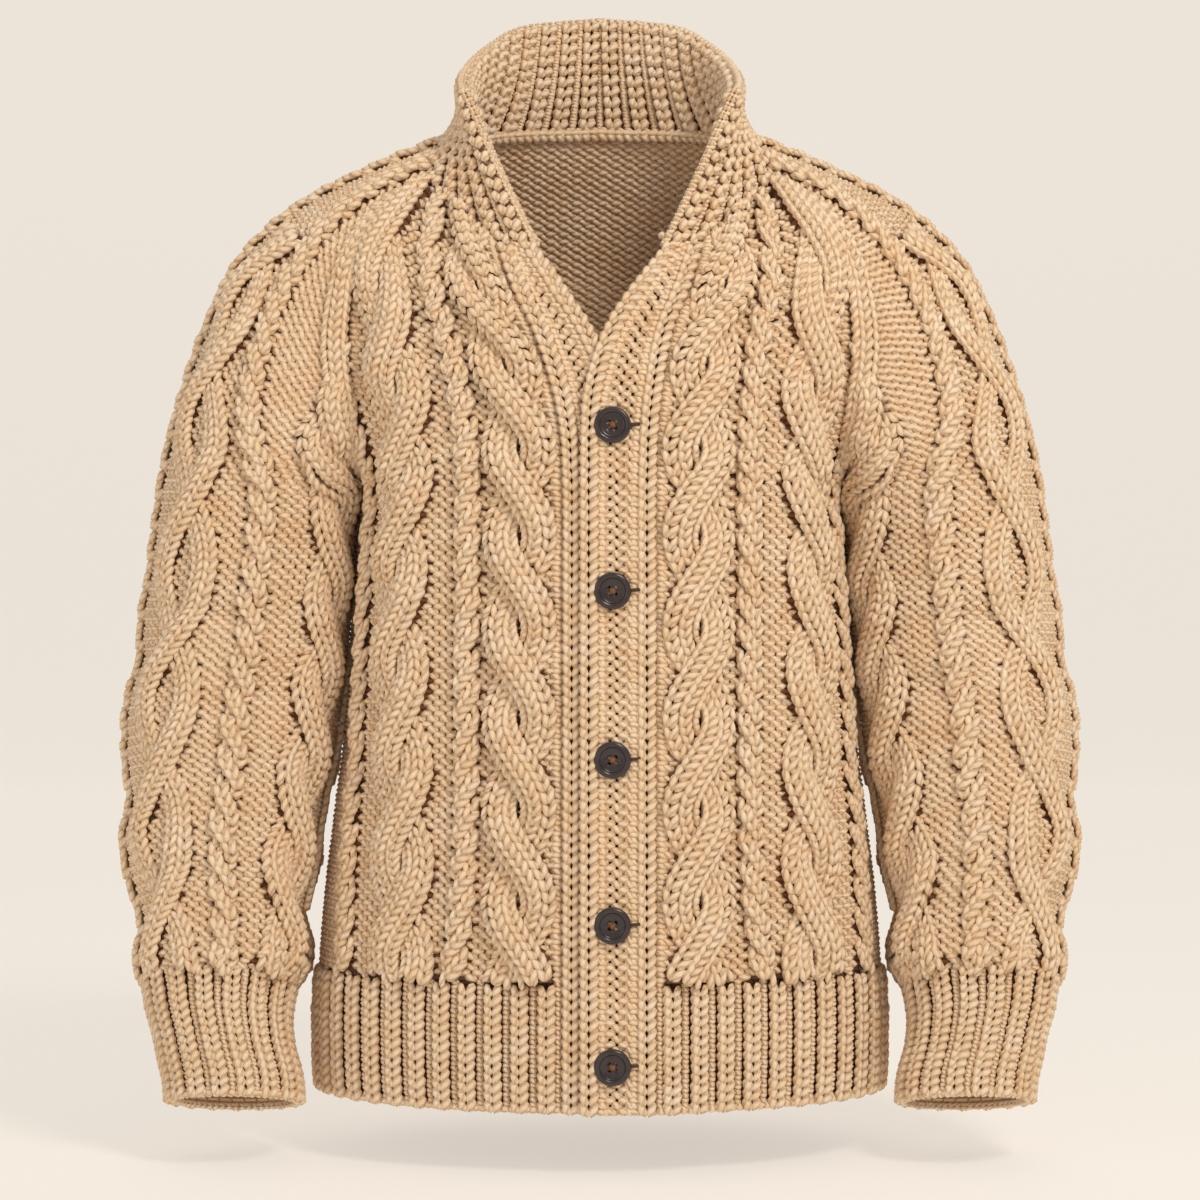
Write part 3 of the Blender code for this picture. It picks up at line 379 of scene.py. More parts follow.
def cloth(surface, levels, ends, inner_point, folds=(), count=73, origin=None, ease=None):
    """Cloth as a grid of points and outward normals: a row at each level, with its points evenly
    spaced between two shares, and distances measured from the share `origin`, or from the first
    end. Each fold is (up, across, slant, length, width, depth) and moves the cloth in by
    depth exp(-(a/length)^2 - (b/width)^2), a and b along and across the fold, and fades out within
    12 mm of the side edges. Rows near the level `ease` are smoothed."""
    start, end = (np.broadcast_to(share, levels.shape)[:, None] for share in ends)
    fine = start + (end - start) * np.linspace(0, 1, 241)
    steps = np.linalg.norm(np.diff(surface(levels[:, None], fine), axis=1), axis=-1)
    run = np.concatenate([np.zeros((len(levels), 1)), np.cumsum(steps, axis=1)], axis=1)
    even = np.linspace(0, 1, count)
    share = np.array([np.interp(even * r[-1], r, f) for r, f in zip(run, fine)])
    zero = [0.0 if origin is None else np.interp(origin, f, r) for r, f in zip(run, fine)]
    first, last = -np.array(zero), run[:, -1] - zero
    points = surface(levels[:, None], share)
    normals = grid_normals(points, inner_point)
    across = first[:, None] + (last - first)[:, None] * even
    dip = np.zeros(points.shape[:2])
    for up, middle, slant, long, wide, deep in folds:
        slant = np.radians(slant)
        du, da = levels[:, None] - up, across - middle
        a = du * np.sin(slant) + da * np.cos(slant)
        b = du * np.cos(slant) - da * np.sin(slant)
        dip += deep * np.exp(-((a / long) ** 2) - (b / wide) ** 2)
    dip *= ramp(across - first[:, None], 0, 0.012) * ramp(last[:, None] - across, 0, 0.012)
    points = points - normals * dip[..., None]
    if ease:
        points = eased(points, levels, across, ease)
    sheet = {"levels": levels, "first": first, "last": last, "across": across, "points": points}
    sheet["normals"], sheet["margins"] = grid_normals(points, inner_point), (0.0, 0.0)
    side = unit(np.gradient(points, axis=1))
    rise = np.gradient(points, axis=0) / np.gradient(levels)[:, None, None]
    rise = rise - side * np.sum(rise * side, axis=-1, keepdims=True)
    sheet["stretch"] = np.linalg.norm(rise, axis=-1, keepdims=True)
    return sheet


EASE_ROUNDS = 70


def eased(points, levels, across, level):
    """The grid with its rows averaged along the cloth: in full up to 25 mm from a level and from
    60 mm off the side edges, and not at all past 75 mm or within 10 mm of an edge."""
    soft = points.copy()
    for _ in range(EASE_ROUNDS):
        soft[1:-1] = (soft[:-2] + 2 * soft[1:-1] + soft[2:]) / 4
    near = 1 - ramp(np.abs(levels - level), 0.025, 0.075)[:, None]
    inside = ramp(across - across[:, :1], 0.01, 0.06) * ramp(across[:, -1:] - across, 0.01, 0.06)
    return points + (soft - points) * (near * inside)[..., None]


def grid_normals(points, inner_point):
    """Unit normals of a grid of points, on the side away from `inner_point`."""
    normals = unit(np.cross(np.gradient(points, axis=0), np.gradient(points, axis=1)))
    away = np.sum(normals * (points - np.asarray(inner_point)))
    return normals if away > 0 else -normals


def inside_of(sheet, wall):
    """The inner face of cloth, as cloth that faces in."""
    points = sheet["points"] - sheet["normals"] * wall
    return sheet | {"points": points, "normals": -sheet["normals"]}


def ends_at(sheet, up):
    """The distances of a row's two ends."""
    return (np.interp(up, sheet["levels"], sheet[end]) for end in ("first", "last"))


def by_share(sheet, share):
    """The distance, by height, that lies at a share of the way from a row's first end to its last."""

    def across(up):
        first, last = ends_at(sheet, up)
        return first + (last - first) * share

    return across


def from_end(sheet, distance):
    """The distance, by height, that lies so far from a row's first end, or from its last if it is
    negative."""

    def across(up):
        first, last = ends_at(sheet, up)
        return (first if distance > 0 else last) + distance

    return across


def at(sheet, key, up, across):
    """A vector of the cloth at any place on it, bilinear between the points of its grid."""
    grid, levels = sheet[key], sheet["levels"]
    row = np.interp(up, levels, np.arange(len(levels)))
    first, last = ends_at(sheet, up)
    col = np.clip((across - first) / (last - first), 0, 1) * (grid.shape[1] - 1)
    i = np.clip(row.astype(int), 0, grid.shape[0] - 2)
    j = np.clip(col.astype(int), 0, grid.shape[1] - 2)
    v, u = (row - i)[..., None], (col - j)[..., None]
    low = grid[i, j] * (1 - u) + grid[i, j + 1] * u
    return low * (1 - v) + (grid[i + 1, j] * (1 - u) + grid[i + 1, j + 1] * u) * v


# How uneven hand knitting is, as standard deviations: lean in radians, lift in metres, size as a
# share.
LEAN_SPREAD, LIFT_SPREAD, SIZE_SPREAD = 0.05, 0.00012, 0.04


def lay(sheet, up, across, slope, lean, size, lift=0.0, roll=0.0, dive=0.1, bend=0.0008):
    """Grains on the cloth. Each lies along a line that goes `slope` across for each step up, or
    along its row where the slope is None, turned by `lean` towards the row's last end. It stands
    `lift` above the cloth, rolls about itself and dips `dive` at its upper end."""
    values = [up, across, 0.0 if slope is None else slope, lean, lift, roll, dive]
    values = np.broadcast_arrays(*(np.asarray(value, float) for value in values))
    up, across, steep, lean, lift, roll, dive = map(np.ravel, values)
    rng = np.random.default_rng(len(up) + 7)
    step = 0.0012
    point, top = at(sheet, "points", up, across), unit(at(sheet, "normals", up, across))
    side = at(sheet, "points", up, across + step) - at(sheet, "points", up, across - step)
    rise = at(sheet, "points", up + step, across) - at(sheet, "points", up - step, across)
    steep, lean, lift, roll, dive = (v[:, None] for v in (steep, lean, lift, roll, dive))
    line, aside = (side, -rise) if slope is None else (rise + steep * side, side)
    line = unit(line - top * np.sum(line * top, axis=1, keepdims=True))
    flank = np.cross(line, top)
    flank = flank * np.sign(np.sum(flank * aside, axis=1, keepdims=True))
    lean = lean + rng.normal(0, LEAN_SPREAD, lean.shape)
    lift = lift + rng.normal(0, LIFT_SPREAD, lift.shape)
    along = np.cos(lean) * line + np.sin(lean) * flank
    flank = np.cos(lean) * flank - np.sin(lean) * line
    tilted = top * np.cos(roll) + flank * np.sin(roll)
    leaning = unit(along * np.cos(dive) - tilted * np.sin(dive))
    tilted = unit(tilted - leaning * np.sum(tilted * leaning, axis=1, keepdims=True))
    shape = np.tile((*size, bend), (len(up), 1)) * rng.normal(1, SIZE_SPREAD, (len(up), 4))
    return np.concatenate([point + top * lift, leaning, tilted, shape], axis=1)


def course(number, shift=0.0):
    """The distance of a course in CABLES by height, moved by `shift`."""
    return lambda up: columns(CABLES, up)[number] + shift


def feature(kind, centre, width=None, hand=1, top=1.0):
    """A cable or rope: its measures, its distance across and its width by height, its hand, and the
    height where it ends."""
    shape = dict(zip(CABLE_FIELDS, CABLE_KINDS[kind]))
    width = width or (lambda up: 1.0 + 0 * up)
    return shape | {"centre": centre, "width": width, "hand": hand, "top": top}


CROSSING = 1.5  # over 1, so that a strand stays fully on top, or under, for a while


def strand_paths(cord, up):
    """Both strands of a cable: across = centre +- reach cos(pi (up - start)/repeat), its slope, and
    how much each is on top: CROSSING times the sine of that angle, kept from -1 to 1."""
    phase = np.pi * (up - cord["start"]) / cord["repeat"]
    reach, centre, step = cord["reach"] * cord["width"](up), cord["centre"], 0.001
    drift = (centre(up + step) - centre(up - step)) / (2 * step)
    for side in (1, -1):
        across = centre(up) + side * reach * np.cos(phase)
        slope = drift - side * reach * np.sin(phase) * np.pi / cord["repeat"]
        on_top = CROSSING * cord["over"] * cord["hand"] * side * np.sin(phase)
        yield across, slope, np.clip(on_top, -1, 1)


def strand_height(on_top):
    """A strand's height against the full one: 1 on top, 0.6 beside, 0.2 under the other."""
    return 0.60 + 0.40 * on_top


ROUND = 0.6  # how much lower a strand is at its edges than along its middle, as a share


def cord_height(cord, up, across):
    """How far a cable stands out: high h(on top) (1 - ROUND t^2), t the place across a strand."""
    half = cord["legs"] * cord["pitch"] / 2 * cord["width"](up)
    height = np.zeros(np.broadcast(up, across).shape)
    for path, slope, on_top in strand_paths(cord, up):
        t = (across - path) / (half * np.sqrt(1 + slope**2))
        rise = cord["high"] * strand_height(on_top) * np.clip(1 - ROUND * t**2, 0, 1)
        height = np.maximum(height, np.where(np.abs(t) < 1, rise, 0))
    return height * (up < cord["top"])


def relief(cords, up, across):
    """The highest of the cables and ropes at a place."""
    heights = [cord_height(cord, up, across) for cord in cords]
    return np.maximum.reduce([np.zeros(np.broadcast(up, across).shape), *heights])


def on_cloth(sheet, up, across, spare=0.0005):
    """Which places lie on the cloth, clear of its side margins."""
    (first, last), (low, high) = ends_at(sheet, up), sheet["margins"]
    clear = (across > first + low + spare) & (across < last - high - spare)
    return clear & (up > sheet["levels"][0]) & (up < sheet["levels"][-1])


LEG_LEANS = (-0.28, 0.40)  # the two legs of a knit stitch lean against each other
LEG_LONG, LEG_WIDE, LEG_DEEP = 1.9, 1.22, 0.0058  # against its row, against its pitch, in metres
LEG_ROLL = 0.75  # how far the outermost legs turn to the strand's side
HIDES = 0.42  # to either side of its path the upper strand hides this share of its width


def cable(sheet, cord):
    """The stitches of a cable's two strands: lines of slanting legs, two to a knit stitch, along
    each strand. Legs that the other strand hides are left out."""
    laid, legs = [], cord["legs"]
    fine = np.arange(sheet["levels"][0] - 0.02, sheet["levels"][-1] + 0.02, 0.0005)
    for number, (path, slope, on_top) in enumerate(strand_paths(cord, fine)):
        stretch = at(sheet, "stretch", fine, path)[:, 0]
        steps = np.hypot(np.diff(path), np.diff(fine) * stretch[1:])
        run = np.concatenate([[0], np.cumsum(steps)])
        station = np.arange(cord["row"] * (0.3 + 0.4 * number), run[-1], cord["row"])
        up, middle, steep, above, stretch = (
            np.interp(station, run, values) for values in (fine, path, slope, on_top, stretch)
        )
        angle = np.arctan(steep / stretch)
        pitch = cord["pitch"] * cord["width"](up)
        for leg in range(legs):
            t = (leg - (legs - 1) / 2) / (legs / 2)
            offset = t * legs / 2 * pitch
            across, level = middle + offset * np.cos(angle), up - offset * np.sin(angle) / stretch
            other, _, other_on_top = list(strand_paths(cord, level))[1 - number]
            near = np.abs(across - other) * np.cos(angle) < legs * pitch * HIDES
            keep = on_cloth(sheet, level, across) & ~(near & (above < other_on_top))
            keep &= level < cord["top"]
            lift = cord["high"] * strand_height(above) * (1 - ROUND * t * t)
            size = (cord["row"] * LEG_LONG, cord["pitch"] * LEG_WIDE, LEG_DEEP)
            where = (level[keep], across[keep], steep[keep], LEG_LEANS[leg % 2], size)
            laid.append(lay(sheet, *where, lift=lift[keep], roll=LEG_ROLL * t))
    return np.concatenate(laid)


COVERS = 0.4  # to either side of its path a strand covers the ground for this share of its width
FIRST_BAR = 0.0025  # a bar of every even row lies this far from where distances start
SIDE_BAR = 0.0028  # distance of a row's outermost bars from its margins


def covered(cords, up, across):
    """Whether a strand lies over a place: |across - path| < COVERS width sqrt(1 + slope^2)."""
    over = np.zeros(np.broadcast(up, across).shape, bool)
    for cord in cords:
        half = COVERS * cord["legs"] * cord["pitch"] * cord["width"](up)
        for path, slope, _ in strand_paths(cord, up):
            over |= (np.abs(across - path) < half * np.sqrt(1 + slope**2)) & (up < cord["top"])
    return over


def row_levels(sheet, row):
    """Levels that lie one row apart along the cloth, on the average over its width."""
    stretch = sheet["stretch"][:, :, 0].mean(axis=1)
    run = np.concatenate([[0], np.cumsum(np.diff(sheet["levels"]) * stretch[1:])])
    return np.interp(np.arange(row / 2, run[-1], row), run, sheet["levels"])


PURL_SIZE = (0.0110, 0.0054, 0.0050)


def bars(sheet, cords, row=PURL_ROW, step=PURL_STEP, size=PURL_SIZE, lean=0.24, lift=-0.0014):
    """Purl ground: rows of short level bars, every second row half a bar aside, that lean one way
    and the other by turns, and none where a cable covers them."""
    up = row_levels(sheet, row)
    reach = np.arange(np.floor(sheet["first"].min() / step), sheet["last"].max() / step + 1)
    level, across = np.meshgrid(up, reach * step, indexing="ij")
    odd = (np.arange(len(up)) % 2)[:, None]
    across = across + odd * step / 2 + FIRST_BAR
    first, last = ends_at(sheet, up)
    low, high = sheet["margins"]
    sides = np.stack([first + low + SIDE_BAR, last - high - SIDE_BAR], axis=1)
    across = np.concatenate([across, sides], axis=1)
    level = np.broadcast_to(up[:, None], across.shape)
    keep = on_cloth(sheet, level, across, 0.001) & ~covered(cords, level, across)
    tilt = np.broadcast_to(np.where(odd, lean, -lean), level.shape)
    return lay(sheet, level[keep], across[keep], None, tilt[keep], size, lift, dive=0)


def knit_column(sheet, across, row=0.0066, lift=0.0018, wide=0.0066, apart=0.0032):
    """A column of knit stitches at the distance across(up): two legs each that meet below."""
    up = row_levels(sheet, row)
    slope = (across(up + 0.002) - across(up - 0.002)) / 0.004
    laid = []
    for side, lean in ((-1, 0.38), (1, 0.48)):
        place = across(up) + side * apart
        size = (row * 1.75, wide, 0.0060)
        laid.append(lay(
            sheet, up, place, slope, side * lean, size, lift, roll=side * 0.35, dive=0.12
        ))
    return np.concatenate(laid)


FOLLOWS = 0.8  # the cloth under a cable rises with it by this share of the cable's height


def shell(name, sheet, cords, wall, counts, flip=False, sink=0.0030):
    """The closed cloth behind the stitches. Its outer face lies `sink` under the sheet and rises
    with the cables, but for 8 mm at its side edges. Its inner face is plain, `wall` under it."""
    rows, cols = counts
    up = np.linspace(sheet["levels"][0], sheet["levels"][-1], rows)[:, None] + np.zeros((1, cols))
    first, last = ends_at(sheet, up)
    across = first + (last - first) * np.linspace(0, 1, cols)
    points, normals = at(sheet, "points", up, across), unit(at(sheet, "normals", up, across))
    edge = ramp(across - first, 0, 0.008) * ramp(last - across, 0, 0.008)
    height = FOLLOWS * relief(cords, up, across) * edge - sink
    outer, inner = points + normals * height[..., None], points - normals * wall
    ids = np.arange(rows * cols).reshape(rows, cols)
    quads = np.stack([ids[:-1, :-1], ids[:-1, 1:], ids[1:, 1:], ids[1:, :-1]], -1).reshape(-1, 4)
    around = np.concatenate([ids[0, :-1], ids[:-1, -1], ids[-1, :0:-1], ids[:0:-1, 0]])
    after, under = np.roll(around, -1), rows * cols
    rim = np.stack([after, around, around + under, after + under], axis=-1)
    faces = np.concatenate([quads, quads[:, ::-1] + under, rim])
    right, rise, out = outer[0, 1] - outer[0, 0], outer[1, 0] - outer[0, 0], normals[0, 0]
    if (np.dot(np.cross(right, rise), out) < 0) != flip:
        faces = faces[:, ::-1]
    points = np.concatenate([outer.reshape(-1, 3), inner.reshape(-1, 3)])
    if flip:
        points[:, 0] *= -1
    flat = np.stack([across - across.min(), up - up[0, 0]], axis=-1).reshape(-1, 2)
    flat = np.concatenate([flat, flat + np.array((np.ptp(across) + 0.01, 0))])[faces.reshape(-1)]
    # The outer face is painted dark as the shade in the stitches' gaps; the inner face and rim take
    # the wrong side's own colours.
    obj = mesh_piece(name, points, [faces], GROUND_IN_PAINTED_SHADE, {"OFBake": flat / flat.max(), "cloth": flat})
    obj.data.materials.append(WRONG_SIDE)
    look = np.zeros(len(faces), np.int32)
    look[len(quads):] = 1
    obj.data.polygons.foreach_set("material_index", look)
    return obj


def dress(name, sheet, grains, flip=False, rings=3, parts=1):
    """Stitches laid on their ground: together they stand for the solid `name`. The area and mean
    height of the sheet are worked out but not used."""
    grains = np.concatenate(grains)
    if flip:
        grains = grains * np.array((-1, 1, 1) * 3 + (1,) * 4)
    for number, some in enumerate(np.array_split(grains, parts)):
        bights(f"{name}_stitches_{number + 1}", some, rings)
        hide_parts(name)
    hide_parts(name)
    points = sheet["points"]
    low, high = points[:-1, 1:] - points[:-1, :-1], points[1:, :-1] - points[:-1, :-1]
    area = float(np.sum(np.linalg.norm(np.cross(low, high), axis=-1)))
    height = np.sum(np.linalg.norm(np.diff(points, axis=0), axis=-1), axis=0).mean()


def band_lift(up):
    """How far forward the buttonhole band lies: it comes down level above the top button."""
    return BAND_LIFT * (1 - ramp(up, 0.530, 0.600))


def front_cloth(levels, over, folds=()):
    """The cloth of the wearer's left front at these levels, from the band seam to the side. Under
    the buttonhole band it starts as far forward as the band, and comes back over 55 mm."""
    seam = share_at(FRONT, levels, columns(BANDS, levels)[0 if over else 2])
    sheet = cloth(front, levels, (seam, 1.0), BODY_MIDDLE, folds)
    if over:
        lift = band_lift(levels)[:, None] * (1 - ramp(sheet["across"], 0, 0.055))
        sheet["points"] = sheet["points"] + sheet["normals"] * lift[..., None]
        sheet["normals"] = grid_normals(sheet["points"], BODY_MIDDLE)
    return sheet


# Soft troughs, and ridges where the depth is negative: up, across, slant in degrees off level,
# length, width, depth.
FRONT_FOLDS = (
    (0.405, 0.165, 25, 0.060, 0.012, 0.0030),
    (0.360, 0.150, 40, 0.050, 0.014, 0.0022),
    (0.470, 0.120, 70, 0.055, 0.016, 0.0018),
    (0.230, 0.175, 15, 0.045, 0.015, 0.0020),
    (0.150, 0.110, 80, 0.060, 0.018, 0.0015),
)
BODY_WALL = 0.0044
front_levels = np.linspace(HEM_TOP, FRONT_TOP, 150)
for side, over in (("left", True), ("right", False)):
    sheet = front_cloth(front_levels, over, FRONT_FOLDS)
    cords = [feature("inner", course(0), course(4)), feature("rope", course(1))]
    cords += [feature("outer", course(2), course(4)), feature("rope", course(3))]
    ground = shell(f"front_{side}_cloth", sheet, cords, BODY_WALL, (92, 36), not over)
    grains = [cable(sheet, cord) for cord in cords] + [bars(sheet, cords)]
    dress(f"front_{side}", sheet, grains, not over)

# ---------------------------------------------------------------------------------------------
# The back. One flat piece with the fronts' cables on either side of a middle rope, and a raglan
# edge at each arm. Its plain wrong side shows through the neck, in rows of close level bars.
# ---------------------------------------------------------------------------------------------

BACK = (
    (0.000, 0.1975, 0.0000, -0.657, 0.1196, -0.657, 90, 0.0010),
    (0.012, 0.1985, 0.0000, -0.645, 0.1202, -0.645, 90, 0.0020),
    (0.047, 0.1990, 0.0000, -0.610, 0.1210, -0.610, 90, 0.0040),
    (0.086, 0.1970, 0.0000, -0.571, 0.1200, -0.571, 90, 0.0050),
    (0.137, 0.1930, 0.0000, -0.520, 0.1180, -0.520, 90, 0.0055),
    (0.187, 0.1870, 0.0000, -0.470, 0.1160, -0.470, 90, 0.0060),
    (0.237, 0.1810, 0.0000, -0.420, 0.1140, -0.420, 90, 0.0070),
    (0.277, 0.1768, 0.0000, -0.380, 0.1120, -0.380, 90, 0.0085),
    (0.317, 0.1733, 0.0000, -0.340, 0.1110, -0.340, 90, 0.0100),
    (0.357, 0.1715, 0.0000, -0.300, 0.1110, -0.300, 90, 0.0120),
    (0.397, 0.1690, 0.0000, -0.260, 0.1120, -0.260, 90, 0.0152),
    (0.421, 0.1665, 0.0000, -0.236, 0.1130, -0.236, 90, 0.0190),
    (0.433, 0.1669, 0.0303, -0.228, 0.1140, -0.224, 79, 0.0130),
    (0.457, 0.1672, 0.0549, -0.205, 0.1160, -0.200, 69, 0.0060),
    (0.492, 0.1672, 0.0705, -0.170, 0.1180, -0.166, 62, 0.0010),
    (0.532, 0.1630, 0.0767, -0.130, 0.1180, -0.127, 58, 0.0000),
    (0.580, 0.1500, 0.0757, -0.085, 0.1130, -0.083, 57, 0.0000),
    (0.633, 0.1240, 0.0628, -0.035, 0.0970, -0.033, 60, 0.0000),
    (0.685, 0.0920, 0.0379, 0.0125, 0.0745, 0.018, 62, 0.0000),
)
BACK_TOP = 0.685
BACK_SHIFT = 0.014  # the back's cables are this much further from its middle than the front's


def back(up, share):
    """A row of the back, by its share of the way round to either side."""
    return body(BACK, up, share)


BACK_FOLDS = (
    (0.410, -0.200, -25, 0.060, 0.013, 0.0028),
    (0.395, 0.170, 30, 0.070, 0.012, 0.0030),
    (0.300, 0.020, 8, 0.080, 0.016, 0.0022),
    (0.250, -0.130, -20, 0.060, 0.015, 0.0018),
    (0.520, -0.090, 60, 0.060, 0.018, 0.0020),
    (0.560, 0.080, -55, 0.050, 0.016, 0.0018),
)
BACK_INSIDE = 0.0046  # the sheet that carries the rows inside lies this far under the outer one
SHOWS_FROM = 0.40  # height from which they are laid, well below what shows from in front
back_levels = np.linspace(HEM_TOP, BACK_TOP, 170)
sheet = cloth(back, back_levels, (-1.0, 1.0), BODY_MIDDLE, BACK_FOLDS, 121, 0.0)
cords = [feature("rope", lambda up: 0 * up)]
for hand in (1, -1):
    for kind, number in (("inner", 0), ("rope", 1), ("outer", 2), ("rope", 3)):
        centre = lambda up, n=number, hand=hand: hand * course(n, BACK_SHIFT)(up)
        width = course(4) if kind != "rope" else None
        cords.append(feature(kind, centre, width, hand))
ground = shell("back_cloth", sheet, cords, BODY_WALL, (104, 72))
grains = [cable(sheet, cord) for cord in cords] + [bars(sheet, cords)]
plain = inside_of(sheet, BACK_INSIDE)
seen = plain["levels"] > SHOWS_FROM
for key in ("levels", "first", "last", "points", "normals", "across", "stretch"):
    plain[key] = plain[key][seen]
grains.append(bars(plain, [], row=0.00300, lift=-0.0004))
dress("back", sheet, grains, rings=2, parts=2)

# ---------------------------------------------------------------------------------------------
# The sleeves. Each is knitted flat up from its cuff, seamed under the arm, with a raglan head: a
# rope down the outer ridge and to each side an open cable round purl, a knotted rope and a
# cable. The cloth sags in soft rings at the elbow and above the cuff.
# ---------------------------------------------------------------------------------------------

# One row per level of the head. front_up and back_up: how far up the raglan seams of the front and
# back it ends. ridge: its outermost line. The sweeps and depths shape its front and back halves.
# Columns: along, front_up, back_up, ridge_x, ridge_z, front_sweep, back_sweep, front_depth,
# back_depth.
HEAD = (
    (0.437, 0.421, 0.421, 0.3060, -0.228, 180, 180, 0.0745, 0.0745),
    (0.461, 0.433, 0.433, 0.3005, -0.205, 158, 156, 0.0745, 0.0745),
    (0.492, 0.455, 0.457, 0.2920, -0.175, 137, 133, 0.0740, 0.0750),
    (0.540, 0.484, 0.492, 0.2760, -0.130, 115, 112, 0.0720, 0.0760),
    (0.595, 0.516, 0.532, 0.2520, -0.080, 92, 95, 0.0695, 0.0770),
    (0.650, 0.549, 0.580, 0.2120, -0.043, 80, 85, 0.0690, 0.0760),
    (0.708, 0.583, 0.633, 0.1600, -0.016, 72, 75, 0.0585, 0.0650),
    (0.764, 0.613, 0.685, 0.1085, 0.006, 68, 66, 0.0430, 0.0415),
)
# One row per ring of the sleeve and its cuff. tilt: how far the ring tips, in degrees, with its
# back edge down. slope: how much higher its outer edge lies.
# Columns: along, mid_x, mid_y, mid_z, half_width, half_depth, tilt, slope.
RINGS = (
    (0.000, 0.2500, -0.065, -0.6600, 0.0440, 0.0460, 15, 0.000),
    (0.012, 0.2510, -0.062, -0.6490, 0.0446, 0.0466, 15, 0.000),
    (0.040, 0.2578, -0.055, -0.6230, 0.0442, 0.0462, 15, 0.000),
    (0.072, 0.2625, -0.047, -0.5950, 0.0476, 0.0496, 15, 0.000),
    (0.090, 0.2625, -0.043, -0.5790, 0.0515, 0.0545, 15, 0.000),
    (0.103, 0.2612, -0.039, -0.5670, 0.0565, 0.0600, 15, 0.000),
    (0.133, 0.2623, -0.031, -0.5386, 0.0545, 0.0600, 14, 0.000),
    (0.163, 0.2640, -0.024, -0.5100, 0.0615, 0.0650, 13, 0.000),
    (0.191, 0.2645, -0.017, -0.4820, 0.0660, 0.0680, 12, 0.000),
    (0.219, 0.2610, -0.011, -0.4540, 0.0665, 0.0685, 10, 0.000),
    (0.247, 0.2595, -0.006, -0.4260, 0.0715, 0.0715, 8, 0.000),
    (0.275, 0.2573, -0.002, -0.3976, 0.0737, 0.0735, 6, 0.000),
    (0.303, 0.2530, 0.001, -0.3700, 0.0728, 0.0745, 4, 0.000),
    (0.332, 0.2490, 0.003, -0.3410, 0.0721, 0.0750, 2, 0.000),
    (0.360, 0.2470, 0.004, -0.3130, 0.0721, 0.0755, 0, 0.000),
    (0.388, 0.2437, 0.003, -0.2850, 0.0707, 0.0750, 0, 0.000),
    (0.416, 0.2395, 0.001, -0.2560, 0.0690, 0.0748, 0, 0.002),
    (0.437, 0.2363, 0.000, -0.2320, 0.0698, 0.0745, 0, 0.004),
)
CUFF_TOP = 0.090
HEAD_TOP = 0.764
# Where the sleeve's cables run, as shares of its half girth from the ridge, at lengths along it.
# Columns: along, open_cable, knots, inner_cable.
SLEEVE_COURSES = (
    (0.090, 0.31, 0.544, 0.80),
    (0.430, 0.31, 0.544, 0.80),
    (0.500, 0.31, 0.540, 0.86),
    (0.560, 0.32, 0.540, 1.02),
    (0.650, 0.36, 0.570, 1.20),
    (0.764, 0.40, 0.640, 1.30),
)

# A single strand fills the head beside its seam: its width by the length along the sleeve.
# Columns: along, width.
SLEEVE_LOBE = (
    (0.090, 0.0020),
    (0.445, 0.0030),
    (0.500, 0.0140),
    (0.540, 0.0205),
    (0.590, 0.0225),
    (0.640, 0.0190),
    (0.700, 0.0130),
    (0.764, 0.0060),
)
LOBE_FULL = 0.0225  # its width where the stitches have their full pitch
LOBE_LAP = 0.0015  # how far it laps over the seam


def ring(along, turn):
    """A sleeve ring: an ellipse of half_width and half_depth round its middle, tipped by tilt."""
    mid_x, mid_y, mid_z, half_width, half_depth, tilt, slope = columns(RINGS, along)
    tilt = np.radians(tilt)
    out, reach = np.cos(turn * np.pi), np.sin(turn * np.pi) * half_depth
    y = mid_y + reach * np.cos(tilt)
    z = mid_z - reach * np.sin(tilt) + slope * out
    return np.stack([mid_x + half_width * out, y, z], axis=-1)


def sleeve(along, turn):
    """A sleeve's ring or head row, turn -1 at the front seam, 0 on the ridge, 1 at the back seam.
    In the head x and z go from ridge to seam as 1 - cos a, a = turn sweep, and y = depth sin a,
    drawn to the seam as turn^3."""
    along, turn = np.broadcast_arrays(along, turn)
    lower = ring(along, turn)
    front_up, back_up, ridge_x, ridge_z, *shape = columns(HEAD, along)
    at_front = turn < 0
    seam = np.where(at_front[..., None], front(front_up, 1.0), back(back_up, 1.0))
    sweep = np.radians(np.where(at_front, shape[0], shape[1]))
    depth = np.sign(turn) * np.where(at_front, shape[2], shape[3])
    angle = np.abs(turn) * sweep
    rise = (1 - np.cos(angle)) / (1 - np.cos(sweep))
    x = ridge_x + (seam[..., 0] - ridge_x) * rise
    y = depth * np.sin(angle) + (seam[..., 1] - depth * np.sin(sweep)) * np.abs(turn) ** 3
    z = ridge_z + (seam[..., 2] - ridge_z) * rise
    upper = np.stack([x, y, z], axis=-1)
    return np.where((along >= HEAD[0][0])[..., None], upper, lower)


SLEEVE_FOLDS = (
    (0.345, -0.100, 12, 0.060, 0.012, 0.0040),
    (0.315, -0.020, -10, 0.055, 0.011, 0.0034),
    (0.385, 0.030, 18, 0.070, 0.014, 0.0032),
    (0.290, -0.140, -22, 0.050, 0.012, 0.0028),
    (0.420, -0.120, 30, 0.060, 0.013, 0.0034),
    (0.205, -0.040, 8, 0.060, 0.010, 0.0030),
    (0.160, -0.090, -12, 0.055, 0.010, 0.0034),
    (0.130, 0.030, 10, 0.050, 0.009, 0.0030),
    (0.240, 0.070, -15, 0.060, 0.012, 0.0028),
    (0.470, 0.120, 25, 0.060, 0.014, 0.0030),
    (0.330, 0.150, 5, 0.060, 0.013, 0.0036),
    (0.180, 0.130, -8, 0.050, 0.011, 0.0028),
)
SLEEVE_MIDDLE = (0.2, 0, -0.35)
UNDERARM = HEAD[0][0]
